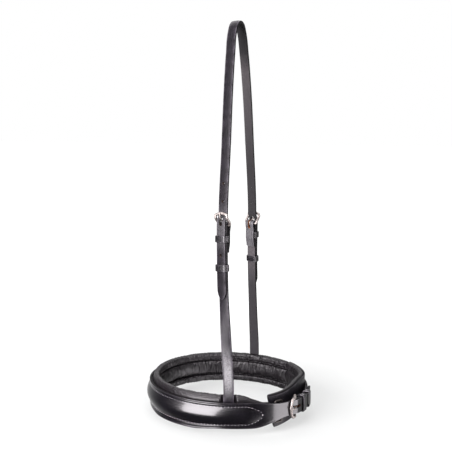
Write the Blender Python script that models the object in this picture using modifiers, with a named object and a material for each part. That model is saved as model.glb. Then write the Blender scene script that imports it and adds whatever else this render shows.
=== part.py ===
"""Padded raised noseband of an English bridle, hanging on its head strap.

The origin is the inner top of the head strap, where it rests on the poll. +Z is up, -X is the
horse's nose, +X its chin, -Y the near side and +Y the off side. All lengths are in metres.
"""
import math

import bmesh
import bpy
import numpy as np
from mathutils import Matrix, Vector

# Clearances shared by every fit
GAP = 0.0003
LAP_GAP = 0.00042
CUT_OVERRUN = 0.003

# Noseband ring: a level ellipse through the inner face of its backing strap
RING_HALF_LENGTH = 0.099
RING_HALF_WIDTH = 0.084
RING_DROP = 0.461
POLL_SETBACK = 0.0098
STATION_DEG = 5.0
NEAR_END_DEG = -57.0
OFF_END_DEG = -303.0
BULGE = 0.0048
BULGE_MIDDLE_DEG = -32.0
BULGE_HALF_SPAN_DEG = 46.0
NEAR_CHEEK_DEG = -80.3
OFF_CHEEK_DEG = 78.6

# Cheek straps and head strap
STRAP_WIDTH = 0.0125
STRAP_THICKNESS = 0.0028
STRAP_EDGE = 0.0004
STRAP_STATION = 0.020
TAB_GAP = 0.0004
TAB_RISE = 0.022
TAB_DROP = 0.015
NEAR_PIVOT_DROP = 0.251
OFF_PIVOT_DROP = 0.2685
BILLET_TAIL = 0.087
TIP_LENGTH = 0.011
TIP_WIDTH_SHARE = 0.42
HOLE_PITCH = 0.021
HOLE_RADIUS = 0.0021
CHEEK_HOLES = (-2, -1, 1, 2)
CHIN_HOLES = (-2, -1)
TWIST_DEG = -27.0
NEAR_TWIST_SPAN_SHARES = (0.67, 0.87)
OFF_TWIST_SPAN_SHARES = (0.73, 0.94)

# Half paths of the strap from the poll down, as shares of the ring's half length, the ring's
# half width and the drop from the poll to the ring
NEAR_PATH_SHARES = ((-0.017, -0.083, 0.0075), (-0.030, -0.131, 0.026), (-0.030, -0.262, 0.082),
                    (-0.025, -0.417, 0.162), (-0.016, -0.643, 0.320), (-0.022, -0.790, 0.4685),
                    (-0.010, -0.868, 0.610), (0.033, -0.925, 0.822))
OFF_PATH_SHARES = ((0.017, 0.083, 0.0075), (0.027, 0.125, 0.022), (0.040, 0.262, 0.082),
                   (0.047, 0.417, 0.160), (0.057, 0.643, 0.334), (0.070, 0.790, 0.505),
                   (0.056, 0.872, 0.660), (0.073, 0.925, 0.830))

# Fold of a cheek strap around its buckle bar
CHEEK_TURN_BACK = 0.032
FOLD_SQUEEZE_START = 0.009
FOLD_CLOSE_SPAN = 0.010
TONGUE_SLOT_SPARE = 0.0008

# Keepers
KEEPER_LEATHER = 0.0012
KEEPER_WIDTH = 0.008
KEEPER_CORNER = 0.0009
CHEEK_KEEPER_DROP = 0.016
CHEEK_RUNNER_DROP = 0.050
KEEPER_GAP = 0.00045

# Cheek buckles
CHEEK_WIRE = 0.0014
CHEEK_BUCKLE_LENGTH = 0.014
CHEEK_SIDE_ROOM = 0.0009
CHEEK_TONGUE_WIRE = 0.00095

# Chin buckle
CHIN_WIRE = 0.0016
CHIN_BUCKLE_LENGTH = 0.015
CHIN_SIDE_ROOM = 0.0013
CHIN_TONGUE_WIRE = 0.0011

# Shared buckle proportions
BAR_PLAY = 0.0003
TONGUE_PLAY = 0.0003
SLOT_SPARE = 0.0006
SLOT_SAMPLES = 12
TONGUE_TIP_OVERHANG_SHARE = 0.11
TONGUE_LIFT_DEG = 8.0
FRAME_LIFT_DEG = 5.0
FRAME_CROWN_SHARE = 0.10
FRAME_RISE_SHARE = 0.72
FRAME_CORNER_SHARE = 0.16
LIFT_START_SHARE = 0.90
LIFT_END_SHARE = 0.22
TONGUE_EXIT_DEG = 125.0
TONGUE_END_DEG = 380.0
TONGUE_TIP_RADIUS_SHARE = 0.8
TONGUE_RISE_SHARES = ((0.34, 0.24), (0.56, 0.64), (0.70, 0.85), (0.84, 0.96))
FRAME_BAR_SHARES = (0.0, 0.45)
FRAME_SIDE_SHARES = (0.4, 0.62)
FRAME_FRONT_SHARES = (0.5, 0.25, 0.0)

# Front strap of the noseband, raised over a core and tapering to the near billet
FRONT_HALF_HEIGHT = 0.016
FRONT_THICKNESS = 0.0024
FRONT_DROP = 0.0035
BILLET_HALF_HEIGHT = 0.00875
BILLET_DROP = 0.001
TAPER_START_DEG = -64.0
TAPER_END_DEG = -38.0
BILLET_TIP_DEG = 9.0
OFF_LAP_DEG = -324.0
BACKING_THICKNESS = 0.002
BACKING_INSET = 0.001
FLAT_OUT = 2.0 * GAP + BACKING_THICKNESS
RAISE_HALF_HEIGHT = 0.0106
RAISE_HEIGHT = 0.0036
RAISE_POINT_DEG = 10.0
RAISE_FADE_DEG = 26.0
RAISE_LOW_SHARE = 0.5
CORE_EDGE = 0.0003
CORE_END_SHARE = 0.75
BILLET_DIP = 0.0013
CHIN_PIVOT_DEG = -26.5
DIP_START = 0.022
DIP_END = 0.0044

# Lining of the noseband
LINING_HALF_HEIGHT = 0.020
LINING_THICKNESS = 0.010
LINING_NEAR_END_DEG = -51.0
LINING_OFF_END_DEG = -316.3
LINING_TAPER_DEG = 23.0
LINING_END_HEIGHT_SHARE = 0.62
LINING_END_THICKNESS_SHARE = 0.40
LINING_OFF_TAPER_DEG = 8.0
LINING_OFF_THICKNESS_SHARE = 0.75
NOTCH_SIDE_GAP = 0.0012
LINING_SECTION_SHARES = (
    (0.0, 0.80), (0.0, 0.0), (0.0, -0.80), (-0.06, -0.93), (-0.27, -1.0), (-0.52, -0.99),
    (-0.78, -0.90), (-0.88, -0.74), (-0.80, -0.58), (-0.60, -0.50), (-0.80, -0.41),
    (-0.95, -0.24), (-1.0, 0.0), (-0.95, 0.24), (-0.80, 0.41), (-0.60, 0.50), (-0.80, 0.58),
    (-0.88, 0.74), (-0.78, 0.90), (-0.52, 0.99), (-0.27, 1.0), (-0.06, 0.93))

# Chin strap, pad and their end loop
CHIN_THICKNESS = 0.0025
CHIN_LAP_DEG = 54.0
CHIN_TURN_BACK = 0.0165
CHIN_KEEPER_SET = 0.0088
CHIN_RUNNER_SET = 0.0245
CHIN_KEEPER_WIDTH = 0.007
CHIN_KEEPER_ROOM = 0.0006
PAD_NEAR_DEG = -47.5
PAD_END_SLANT = 0.0045
PAD_SLANT_SPAN_DEG = 14.0
PAD_OFF_DEG = 43.0
PAD_HALF_HEIGHT = 0.021
PAD_THICKNESS = 0.009
PAD_BACKING_THICKNESS = 0.0015
PAD_STAND_START_DEG = -8.0
PAD_STAND_END_DEG = 14.0
PAD_DROOP = 0.007
PAD_DROOP_START_DEG = 5.0
PAD_END_SHARE = 0.95
PAD_SECTION_SHARES = (
    (0.0, 0.84), (0.0, 0.0), (0.0, -0.84), (-0.14, -0.97), (-0.42, -1.0), (-0.72, -0.90),
    (-0.92, -0.66), (-1.0, -0.30), (-1.0, 0.30), (-0.92, 0.66), (-0.72, 0.90), (-0.42, 1.0),
    (-0.14, 0.97))
LOOP_WIRE = 0.0013
LOOP_HALF_HEIGHT = 0.0135
LOOP_LENGTH = 0.011
LOOP_CORNER = 0.0025
LOOP_PLAY = 0.0005
LOOP_BAR_SHARE = 0.6
LOOP_BAR_DEG = -38.0
TAB_LEATHER = 0.0012
TAB_HALF_HEIGHT = 0.006
TAB_LENGTH = 0.012
TAB_CLOSE_SHARE = 0.8

# How finely round things are divided
RING_TABLE_SPAN_DEG = (-350.0, 90.0)
RING_TABLE_STEPS = 1761
TANGENT_STEP_DEG = 0.25
TANGENT_REACH = 0.00125
PATH_STEPS = 24
FOLD_STEPS = 8
ROUND_SIDES = 12
ARC_STEPS = 4
WIRE_RESOLUTION = 2
EDGE_ANGLE_DEG = 50.0
TIP_STATION_SHARES = (1.0, 0.72, 0.46, 0.22, 0.0)
CROWN_STATION_SHARES = (0.2, 0.45, 0.75, 1.1, 1.6, 2.4)
BEND_STATION_SHARES = (1.1, 0.9, 0.7, 0.5, 0.3, 0.1)
CHIN_BEND_SHARES = (1.9, 1.45, 1.1, 0.8, 0.55, 0.3, 0.1)
RUN_END_SHARE = 1.3
TIP_MARGIN_SHARE = 1.5
RAISE_COLUMN_SHARES = (-1.0, -0.62, 0.0, 0.62, 1.0)

# Colours, linear, and roughness
LEATHER_COLOUR = (0.017, 0.015, 0.019, 1.0)
LINING_COLOUR = (0.021, 0.020, 0.022, 1.0)
CORE_COLOUR = (0.30, 0.24, 0.18, 1.0)
STEEL_COLOUR = (0.70, 0.68, 0.66, 1.0)
LEATHER_ROUGHNESS = 0.38
LINING_ROUGHNESS = 0.48
CORE_ROUGHNESS = 0.8
STEEL_ROUGHNESS = 0.22


def ramp(value, start, end):
    """Smooth rise from 0 at start to 1 at end; start may lie above end."""
    share = min(1.0, max(0.0, (value - start) / (end - start)))
    return share * share * (3.0 - 2.0 * share)


def mix(low, high, share):
    """Value between low and high."""
    return low + (high - low) * share


class Spot:
    """Place on a strap's route: its point and its width, backward and outward directions."""

    def __init__(self, point, width, back):
        self.point = Vector(point)
        self.back = Vector(back).normalized()
        across = Vector(width)
        self.width = (across - self.back * across.dot(self.back)).normalized()
        self.out = self.width.cross(self.back)

    def at(self, across, out, along=0.0):
        """Point at a distance across, outwards and backwards from the spot."""
        return self.point + self.width * across + self.out * out + self.back * along


def bulge(degrees):
    """How far the folded buckle end bows the ring out from its ellipse at an angle."""
    share = min(1.0, abs(degrees - BULGE_MIDDLE_DEG) / BULGE_HALF_SPAN_DEG)
    return BULGE * math.cos(0.5 * math.pi * share) ** 2


class RingRoute:
    """Route round the noseband; angles run from the chin at 0 to the nose at -180."""

    def __init__(self):
        self.centre = Vector((-POLL_SETBACK, 0.0, -RING_DROP))
        self.degrees = np.linspace(*RING_TABLE_SPAN_DEG, RING_TABLE_STEPS)
        self.points = np.array([self.flat_point(value) for value in self.degrees])
        steps = np.linalg.norm(np.diff(self.points, axis=0), axis=1)
        self.lengths = np.concatenate([[0.0], np.cumsum(steps)])

    @staticmethod
    def flat_point(degrees):
        """Point of the bowed ellipse, seen from above, at an angle."""
        angle = math.radians(degrees)
        share = 1.0 + bulge(degrees) / RING_HALF_LENGTH
        return (RING_HALF_LENGTH * share * math.cos(angle),
                RING_HALF_WIDTH * share * math.sin(angle))

    def length_at(self, degrees):
        """Length along the ring at an angle."""
        return float(np.interp(degrees, self.degrees, self.lengths))

    def degrees_at(self, length):
        """Angle of a length along the ring."""
        return float(np.interp(length, self.lengths, self.degrees))

    def spot(self, length):
        """Spot at a length; its width direction is up and its back runs to the near side."""
        degrees = self.degrees_at(length)
        point = Vector((*self.flat_point(degrees), 0.0))
        ahead = (Vector((*self.flat_point(degrees + TANGENT_STEP_DEG), 0.0))
                 - Vector((*self.flat_point(degrees - TANGENT_STEP_DEG), 0.0)))
        return Spot(self.centre + point, (0.0, 0.0, 1.0), -ahead)

    def spot_at(self, degrees):
        """Spot at an angle."""
        return self.spot(self.length_at(degrees))


class SideRoute:
    """Route of one side's strap, from the poll down into the noseband."""

    def __init__(self, ring, side, shares, twist_span_shares):
        self.side = side
        seat = ring.spot_at(OFF_CHEEK_DEG if side > 0 else NEAR_CHEEK_DEG)
        self.seat_depth = -(TAB_GAP + STRAP_THICKNESS)
        if side < 0:
            self.ring_twist = math.atan2(-seat.back.y, -seat.back.x)
        else:
            self.ring_twist = math.atan2(seat.back.y, seat.back.x)
        places = [(x * RING_HALF_LENGTH, y * RING_HALF_WIDTH, -z * RING_DROP)
                  for x, y, z in shares]
        mirror_start = (-places[0][0], -places[0][1], places[0][2])
        seat_point = seat.at(0.0, self.seat_depth)
        for rise in (TAB_RISE, -TAB_DROP):
            places.append((seat_point.x, seat_point.y, seat_point.z + rise))
        self.points = smooth_line([mirror_start, (0.0, 0.0, 0.0)] + places)
        steps = np.linalg.norm(np.diff(self.points, axis=0), axis=1)
        self.lengths = np.concatenate([[0.0], np.cumsum(steps)])
        top = int(np.argmin(np.linalg.norm(self.points, axis=1)))
        self.lengths -= self.lengths[top]
        self.total = float(self.lengths[-1])
        self.twist_span = [share * self.total for share in twist_span_shares]

    def point(self, length):
        """Point of the route at a length below the poll."""
        return Vector([float(np.interp(length, self.lengths, self.points[:, axis]))
                       for axis in range(3)])

    def spot(self, length):
        """Spot at a length below the poll; its back runs up the strap."""
        reach = TANGENT_REACH
        low = min(length + reach, self.total)
        back = self.point(low - 2.0 * reach) - self.point(low)
        angle = mix(math.radians(TWIST_DEG), self.ring_twist, ramp(length, *self.twist_span))
        width = Vector((math.cos(angle), math.sin(angle), 0.0)) * -self.side
        return Spot(self.point(length), width, back)


def smooth_line(places):
    """Close points along a smooth curve through the given places."""
    points = np.array(places)
    knots = np.concatenate([[0.0], np.cumsum(np.linalg.norm(np.diff(points, axis=0), axis=1))])
    slopes = np.gradient(points, knots, axis=0)
    slopes[-2:] = (points[-1] - points[-2]) / (knots[-1] - knots[-2])
    line = []
    for index in range(len(points) - 1):
        span = knots[index + 1] - knots[index]
        for share in np.linspace(0.0, 1.0, PATH_STEPS, endpoint=False):
            square, cube = share ** 2, share ** 3
            line.append((2 * cube - 3 * square + 1) * points[index]
                        + (cube - 2 * square + share) * span * slopes[index]
                        + (3 * square - 2 * cube) * points[index + 1]
                        + (cube - square) * span * slopes[index + 1])
    line.append(points[-1])
    return np.array(line)


class Buckle:
    """One buckle on a folded strap: its sizes, its bar's place and the strap's lift over it."""

    def __init__(self, route, pivot, base, strap, width, wire, length, side_room, tongue_wire,
                 billet, lift_low):
        self.route = route
        self.pivot = pivot
        self.base = base
        self.strap = strap
        self.wire = wire
        self.length = length
        self.half_width = 0.5 * width + side_room + wire
        self.tongue_wire = tongue_wire
        self.billet = billet
        self.lift_low = lift_low
        self.lift_high = base + strap + LAP_GAP
        self.bar_out = base - BAR_PLAY - wire
        self.front_out = self.lift(FRAME_RISE_SHARE * length) + billet + GAP + wire
        self.tongue_out = self.front_out + wire + TONGUE_PLAY + tongue_wire
        self.loop_radius = wire + TONGUE_PLAY + tongue_wire

    def lift(self, above):
        """Height of the billet's inner face at a distance above the pivot."""
        return mix(self.lift_low, self.lift_high,
                   ramp(above, LIFT_START_SHARE * self.length, LIFT_END_SHARE * self.length))

    def place(self, across, above, out):
        """Point in the world from the buckle's own distances."""
        return self.route.spot(self.pivot - above).at(across, out)

    def centre(self):
        """Centre of the pivot bar."""
        return self.place(0.0, 0.0, self.bar_out)

    def tongue_line(self):
        """Tongue's centre line as distances above the pivot and outwards."""
        line = []
        turns = np.radians(np.linspace(TONGUE_END_DEG, TONGUE_EXIT_DEG, 2 * FOLD_STEPS))
        for turn in turns:
            line.append((self.loop_radius * math.cos(turn),
                         self.bar_out + self.loop_radius * math.sin(turn)))
        start = line[-1]
        rise = self.tongue_out - start[1]
        for run_share, rise_share in TONGUE_RISE_SHARES:
            line.append((mix(start[0], self.length, run_share), start[1] + rise * rise_share))
        line.append((self.length, self.tongue_out))
        line.append((self.length * (1.0 + TONGUE_TIP_OVERHANG_SHARE), self.tongue_out))
        return line

    def slot(self):
        """Ends, above the pivot, of the slot that clears the tongue in the billet."""
        spare = self.tongue_wire + SLOT_SPARE
        reached = []
        line = self.tongue_line()[2 * FOLD_STEPS - 1:]
        for degrees in (0.0, TONGUE_LIFT_DEG + FRAME_LIFT_DEG):
            cos, sin = math.cos(math.radians(degrees)), math.sin(math.radians(degrees))
            for (low_v, low_n), (high_v, high_n) in zip(line[:-1], line[1:]):
                for share in np.linspace(0.0, 1.0, SLOT_SAMPLES):
                    above = mix(low_v, high_v, share)
                    out = mix(low_n, high_n, share) - self.bar_out
                    turned = above * cos - out * sin
                    height = self.bar_out + above * sin + out * cos
                    inner = self.lift(turned)
                    if inner - spare < height < inner + self.billet + spare:
                        reached.append(turned)
        return min(reached) - spare, max(reached) + 0.5 * spare


def clear_scene():
    """Empty the scene and start the two collections."""
    for item in list(bpy.data.objects):
        bpy.data.objects.remove(item, do_unlink=True)
    made = []
    for name in ("english_bridle_noseband", "cutters"):
        collection = bpy.data.collections.get(name) or bpy.data.collections.new(name)
        if name not in bpy.context.scene.collection.children:
            bpy.context.scene.collection.children.link(collection)
        made.append(collection)
    return made


def finish_material(name, colour, roughness, metallic=0.0):
    """Principled material in one colour."""
    material = bpy.data.materials.new(name)
    material.use_nodes = True
    shader = material.node_tree.nodes["Principled BSDF"]
    shader.inputs["Base Color"].default_value = colour
    shader.inputs["Roughness"].default_value = roughness
    shader.inputs["Metallic"].default_value = metallic
    material.diffuse_color = colour
    return material


def leather(name):
    """Black bridle leather for one piece."""
    return finish_material(name, LEATHER_COLOUR, LEATHER_ROUGHNESS)


def steel(name):
    """Polished steel for one piece."""
    return finish_material(name, STEEL_COLOUR, STEEL_ROUGHNESS, 1.0)


def add_object(name, data, material, origin=None):
    """Put a piece in the object's collection, with its origin where it turns or lies."""
    piece = bpy.data.objects.new(name, data)
    piece.data.materials.append(material)
    PIECES.objects.link(piece)
    if origin is not None:
        piece.location = origin
    return piece


def sheet_mesh(name, stations, columns, place):
    """Grid laid over a surface: place(station, column) gives each point."""
    grid = bmesh.new()
    bmesh.ops.create_grid(grid, x_segments=len(stations) - 1, y_segments=len(columns) - 1,
                          size=1.0)
    for vertex in grid.verts:
        row = round((vertex.co.x + 1.0) * 0.5 * (len(stations) - 1))
        column = round((vertex.co.y + 1.0) * 0.5 * (len(columns) - 1))
        vertex.co = place(stations[row], columns[column])
    mesh = bpy.data.meshes.new(name)
    grid.to_mesh(mesh)
    grid.free()
    return mesh


def sheet(name, stations, columns, place, thickness, material, edge=STRAP_EDGE):
    """Leather strip: a mapped grid with Solidify outwards and a small Bevel on its edges."""
    piece = add_object(name, sheet_mesh(name, stations, columns, place), material)
    wall = piece.modifiers.new("thickness", "SOLIDIFY")
    wall.thickness = thickness
    wall.offset = 1.0
    if edge:
        bevel = piece.modifiers.new("edges", "BEVEL")
        bevel.width = edge
        bevel.segments = 1
        bevel.limit_method = "ANGLE"
        bevel.angle_limit = math.radians(EDGE_ANGLE_DEG)
    return piece


def loft(name, rings, material):
    """Solid through a row of unlike closed sections with equal point counts."""
    body = bmesh.new()
    rows = [[body.verts.new(point) for point in ring] for ring in rings]
    count = len(rings[0])
    for low, high in zip(rows[:-1], rows[1:]):
        for index in range(count):
            after = (index + 1) % count
            body.faces.new((low[index], low[after], high[after], high[index]))
    body.faces.new(list(reversed(rows[0])))
    body.faces.new(rows[-1])
    bmesh.ops.recalc_face_normals(body, faces=body.faces)
    mesh = bpy.data.meshes.new(name)
    body.to_mesh(mesh)
    body.free()
    mesh.shade_smooth()
    return add_object(name, mesh, material)


def tube(name, points, wire, material, origin, closed=False, tip_share=1.0):
    """Round wire along points, with its origin on the axis that it turns about."""
    curve = bpy.data.curves.new(name, "CURVE")
    curve.dimensions = "3D"
    curve.bevel_depth = wire
    curve.bevel_resolution = WIRE_RESOLUTION
    curve.use_fill_caps = True
    spline = curve.splines.new("POLY")
    spline.points.add(len(points) - 1)
    for knot, point in zip(spline.points, points):
        local = point - origin
        knot.co = (local.x, local.y, local.z, 1.0)
    spline.use_cyclic_u = closed
    spline.use_smooth = True
    spline.points[-1].radius = tip_share
    return add_object(name, curve, material, origin)


def rounded_outline(half_width, low, high, corner):
    """Rounded rectangle, counter-clockwise, as points across and outwards."""
    outline = []
    corners = ((half_width, low, -90.0), (half_width, high, 0.0),
               (-half_width, high, 90.0), (-half_width, low, 180.0))
    for across, out, start in corners:
        centre_x = across - math.copysign(corner, across)
        centre_y = out + corner if out == low else out - corner
        for degrees in np.linspace(start, start + 90.0, ARC_STEPS):
            outline.append((centre_x + corner * math.cos(math.radians(degrees)),
                            centre_y + corner * math.sin(math.radians(degrees))))
    return outline


def keeper(name, spot, half_width, low, high, length, material):
    """Leather loop round a strap: a flat outline with its opening, extruded along the strap."""
    curve = bpy.data.curves.new(name, "CURVE")
    curve.dimensions = "2D"
    curve.fill_mode = "BOTH"
    curve.extrude = 0.5 * length
    outer = rounded_outline(half_width + KEEPER_LEATHER, low - KEEPER_LEATHER,
                            high + KEEPER_LEATHER, KEEPER_CORNER + KEEPER_LEATHER)
    inner = rounded_outline(half_width, low, high, KEEPER_CORNER)
    for outline in (outer, inner):
        spline = curve.splines.new("POLY")
        spline.points.add(len(outline) - 1)
        for knot, (across, out) in zip(spline.points, outline):
            knot.co = (across, out, 0.0, 1.0)
        spline.use_cyclic_u = True
    piece = add_object(name, curve, material)
    axes = Matrix((spot.width, spot.out, -spot.back)).transposed().to_4x4()
    piece.matrix_world = Matrix.Translation(spot.point) @ axes
    return piece


def box_between(name, spot, across, out, along):
    """Box cutter in a spot's directions, each given as a low and a high distance."""
    bpy.ops.mesh.primitive_cube_add(size=1.0)
    box = bpy.context.object
    box.name = name
    sizes = [high - low for low, high in (across, out, along)]
    middle = [0.5 * (high + low) for low, high in (across, out, along)]
    axes = Matrix((spot.width, spot.out, spot.back)).transposed().to_4x4()
    place = Matrix.Translation(spot.at(middle[0], middle[1], middle[2]))
    box.data.transform(place @ axes @ Matrix.Diagonal((*sizes, 1.0)))
    if axes.determinant() < 0.0:
        box.data.flip_normals()
    return as_cutter(box)


def as_cutter(piece):
    """Move a shape to the cutters, out of the finished model."""
    for collection in list(piece.users_collection):
        collection.objects.unlink(piece)
    CUTTERS.objects.link(piece)
    piece.hide_render = True
    piece.display_type = "WIRE"
    return piece


def cut(piece, cutter):
    """Take a cutter away from a piece."""
    boolean = piece.modifiers.new(cutter.name, "BOOLEAN")
    boolean.object = cutter
    boolean.operation = "DIFFERENCE"
    boolean.solver = "EXACT"


def hole_cutter(name, spots, depth):
    """Round punches at spots, or slotted ones where a second spot stretches them."""
    body = bmesh.new()
    for spot, stretch in spots:
        made = bmesh.ops.create_cone(body, cap_ends=True, segments=ROUND_SIDES,
                                     radius1=HOLE_RADIUS, radius2=HOLE_RADIUS, depth=depth)
        axes = Matrix((spot.width, spot.back, -spot.out)).transposed()
        for vertex in made["verts"]:
            local = vertex.co.copy()
            if abs(local.y) > 0.1 * HOLE_RADIUS:
                local.y += math.copysign(0.5 * stretch, local.y)
            elif stretch:
                local.y = 0.0
            vertex.co = spot.point + axes @ local
    bmesh.ops.recalc_face_normals(body, faces=body.faces)
    mesh = bpy.data.meshes.new(name)
    body.to_mesh(mesh)
    body.free()
    piece = bpy.data.objects.new(name, mesh)
    CUTTERS.objects.link(piece)
    return as_cutter(piece)


def tip_share(distance):
    """Share of a billet's width at a distance from its tip: an English point."""
    share = min(1.0, max(0.0, distance / TIP_LENGTH))
    return mix(TIP_WIDTH_SHARE, 1.0, math.sin(0.5 * math.pi * share))


def tip_stations(end):
    """Stations that close in on a billet's tip."""
    return [end - TIP_LENGTH * share for share in TIP_STATION_SHARES]


def make_head_strap(near, off):
    """Head strap: one strip from the near billet's tip over the poll to the off one's."""
    ends = {-1: near.pivot + BILLET_TAIL, 1: off.pivot + BILLET_TAIL}
    buckles = {-1: near, 1: off}

    def side_stations(side):
        end = ends[side]
        buckle = buckles[side]
        crown = [STRAP_WIDTH * share for share in CROWN_STATION_SHARES]
        runs = list(np.arange(crown[-1] + 0.5 * STRAP_STATION,
                              buckle.pivot - RUN_END_SHARE * buckle.length, STRAP_STATION))
        bend = [buckle.pivot - buckle.length * share for share in BEND_STATION_SHARES]
        below = list(np.arange(buckle.pivot + 0.5 * STRAP_STATION,
                               end - TIP_MARGIN_SHARE * TIP_LENGTH, STRAP_STATION))
        return crown + runs + bend + below + tip_stations(end)

    stations = [-value for value in reversed(side_stations(-1))] + [0.0] + side_stations(1)

    def place(station, column):
        side = -1 if station < 0.0 else 1
        buckle = buckles[side]
        length = abs(station)
        half = 0.5 * STRAP_WIDTH * tip_share(ends[side] - length)
        return buckle.route.spot(length).at(-side * column * half,
                                            buckle.lift(buckle.pivot - length))

    strap = sheet("head_strap", stations, (-1.0, 1.0), place, STRAP_THICKNESS,
                  leather("head_strap_leather"))
    flip_if_inward(strap, near.route.spot(0.0).out)
    spots = []
    for buckle in (near, off):
        low, high = buckle.slot()
        spots.append((hole_spot(buckle, 0.5 * (low + high)), high - low - 2.0 * HOLE_RADIUS))
        for number in CHEEK_HOLES:
            spots.append((hole_spot(buckle, high - HOLE_RADIUS + number * HOLE_PITCH), 0.0))
    cut(strap, hole_cutter("head_strap_holes", spots, 2.0 * STRAP_THICKNESS + CUT_OVERRUN))
    return strap


def hole_spot(buckle, above):
    """Spot in the middle of the billet's leather, at a distance above the pivot."""
    spot = buckle.route.spot(buckle.pivot - above)
    middle = spot.at(0.0, buckle.lift(above) + 0.5 * buckle.billet)
    return Spot(middle, spot.width, spot.back)


def flip_if_inward(piece, outward):
    """Turn a sheet's faces over where they don't face outwards at its middle."""
    faces = piece.data.polygons
    middle = faces[len(faces) // 2]
    if middle.normal.dot(outward) < 0.0:
        piece.data.flip_normals()


def folded_strap(name, buckle, half_width, main_stations, turn_back, keeper_end, material):
    """Strap folded round its buckle's bar, with its end turned back on the inner side."""
    radius = buckle.wire + BAR_PLAY
    base = buckle.base
    squeezed = base - (KEEPER_LEATHER + 2.0 * KEEPER_GAP)
    closed = base - GAP
    stations = []
    for share in np.linspace(1.0, 0.0, FOLD_STEPS):
        below = turn_back * share
        out = mix(base - 2.0 * radius, squeezed, ramp(below, 0.0, FOLD_SQUEEZE_START))
        out = mix(out, closed, ramp(below, keeper_end, keeper_end + FOLD_CLOSE_SPAN))
        stations.append((buckle.pivot + below, out))
    for degrees in np.linspace(-90.0, 90.0, FOLD_STEPS)[1:]:
        stations.append((buckle.pivot - radius * math.cos(math.radians(degrees)),
                         base - radius + radius * math.sin(math.radians(degrees))))
    stations += [(length, base) for length in main_stations]

    def place(station, column):
        return buckle.route.spot(station[0]).at(column * half_width, station[1])

    strap = sheet(name, stations, (-1.0, 1.0), place, buckle.strap, material)
    slot_half = buckle.tongue_wire + TONGUE_SLOT_SPARE
    reach = radius + buckle.strap + CUT_OVERRUN
    spot = buckle.route.spot(buckle.pivot)
    bar = Spot(spot.at(0.0, buckle.bar_out), spot.width, spot.back)
    cutter = box_between(name + "_tongue_slot", bar, (-slot_half, slot_half), (-reach, reach),
                         (-buckle.loop_radius - buckle.tongue_wire - CUT_OVERRUN, reach))
    cut(strap, cutter)
    return strap


def make_frame(name, buckle):
    """Buckle frame: straight pivot bar, rising sides and a crowned front bar."""
    corner = FRAME_CORNER_SHARE * buckle.length
    half = buckle.half_width
    crown = FRAME_CROWN_SHARE * buckle.length
    outline = [(share * half, 0.0) for share in FRAME_BAR_SHARES]
    for degrees in np.linspace(-90.0, 0.0, ARC_STEPS):
        outline.append((half - corner + corner * math.cos(math.radians(degrees)),
                        corner + corner * math.sin(math.radians(degrees))))
    outline += [(half, buckle.length * share) for share in FRAME_SIDE_SHARES]
    for degrees in np.linspace(0.0, 90.0, ARC_STEPS):
        outline.append((half - corner + corner * math.cos(math.radians(degrees)),
                        buckle.length - crown - corner
                        + corner * math.sin(math.radians(degrees))))
    outline += [(share * half, buckle.length - crown * share) for share in FRAME_FRONT_SHARES]
    mirrored = [(-across, above) for across, above in reversed(outline[1:-1])]
    points = []
    for across, above in outline + mirrored:
        out = mix(buckle.bar_out, buckle.front_out,
                  ramp(above, 0.0, FRAME_RISE_SHARE * buckle.length))
        points.append(buckle.place(across, above, out))
    return tube(name, points, buckle.wire, steel(name + "_steel"), buckle.centre(), closed=True)


def make_tongue(name, buckle):
    """Buckle tongue: hooked round the pivot bar and bent over the front bar."""
    points = [buckle.place(0.0, above, out) for above, out in buckle.tongue_line()]
    return tube(name, points, buckle.tongue_wire, steel(name + "_steel"), buckle.centre(),
                tip_share=TONGUE_TIP_RADIUS_SHARE)


def make_side(word, buckle):
    """One side's cheek strap, buckle and keepers."""
    route = buckle.route
    below = list(np.arange(buckle.pivot + 0.5 * STRAP_STATION,
                           route.total - TAB_RISE - TAB_DROP, STRAP_STATION))
    below += [route.total - TAB_RISE - TAB_DROP, route.total - TAB_DROP, route.total]
    keeper_end = CHEEK_KEEPER_DROP + 0.5 * KEEPER_WIDTH
    folded_strap(word + "_cheek_strap", buckle, 0.5 * STRAP_WIDTH, below, CHEEK_TURN_BACK,
                 keeper_end, leather(word + "_cheek_leather"))
    make_frame(word + "_cheek_buckle_frame", buckle)
    make_tongue(word + "_cheek_buckle_tongue", buckle)
    half = 0.5 * STRAP_WIDTH + KEEPER_GAP
    high = buckle.lift_high + STRAP_THICKNESS + KEEPER_GAP
    for part, drop in (("fixed_keeper", CHEEK_KEEPER_DROP), ("runner_keeper", CHEEK_RUNNER_DROP)):
        name = word + "_cheek_" + part
        keeper(name, route.spot(buckle.pivot + drop), half, -KEEPER_GAP, high, KEEPER_WIDTH,
               leather(name + "_leather"))


def ring_angles(start, end, extra=()):
    """Shared stations round the ring between two angles, with the ends."""
    low, high = min(start, end), max(start, end)
    steps = np.arange(math.ceil(low / STATION_DEG), math.floor(high / STATION_DEG) + 1)
    angles = {low, high, *extra}
    for value in steps * STATION_DEG:
        if all(abs(value - angle) > 0.25 * STATION_DEG for angle in angles):
            angles.add(float(value))
    return sorted(angle for angle in angles if low <= angle <= high)


def front_half_height(degrees):
    """Half height of the front strap at an angle."""
    near = ramp(degrees, TAPER_START_DEG, TAPER_END_DEG)
    off = ramp(-360.0 - degrees, TAPER_START_DEG, TAPER_END_DEG)
    return mix(FRONT_HALF_HEIGHT, BILLET_HALF_HEIGHT, max(near, off))


def front_centre(degrees):
    """Height of the front strap's centre line against the ring's."""
    near = ramp(degrees, TAPER_START_DEG, TAPER_END_DEG)
    off = ramp(-360.0 - degrees, TAPER_START_DEG, TAPER_END_DEG)
    return -mix(FRONT_DROP, BILLET_DROP, max(near, off))


def from_raise_end(degrees):
    """Angle from the nearer point of the raised part, positive inside it."""
    return min(NEAR_END_DEG - degrees, degrees - OFF_END_DEG)


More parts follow.
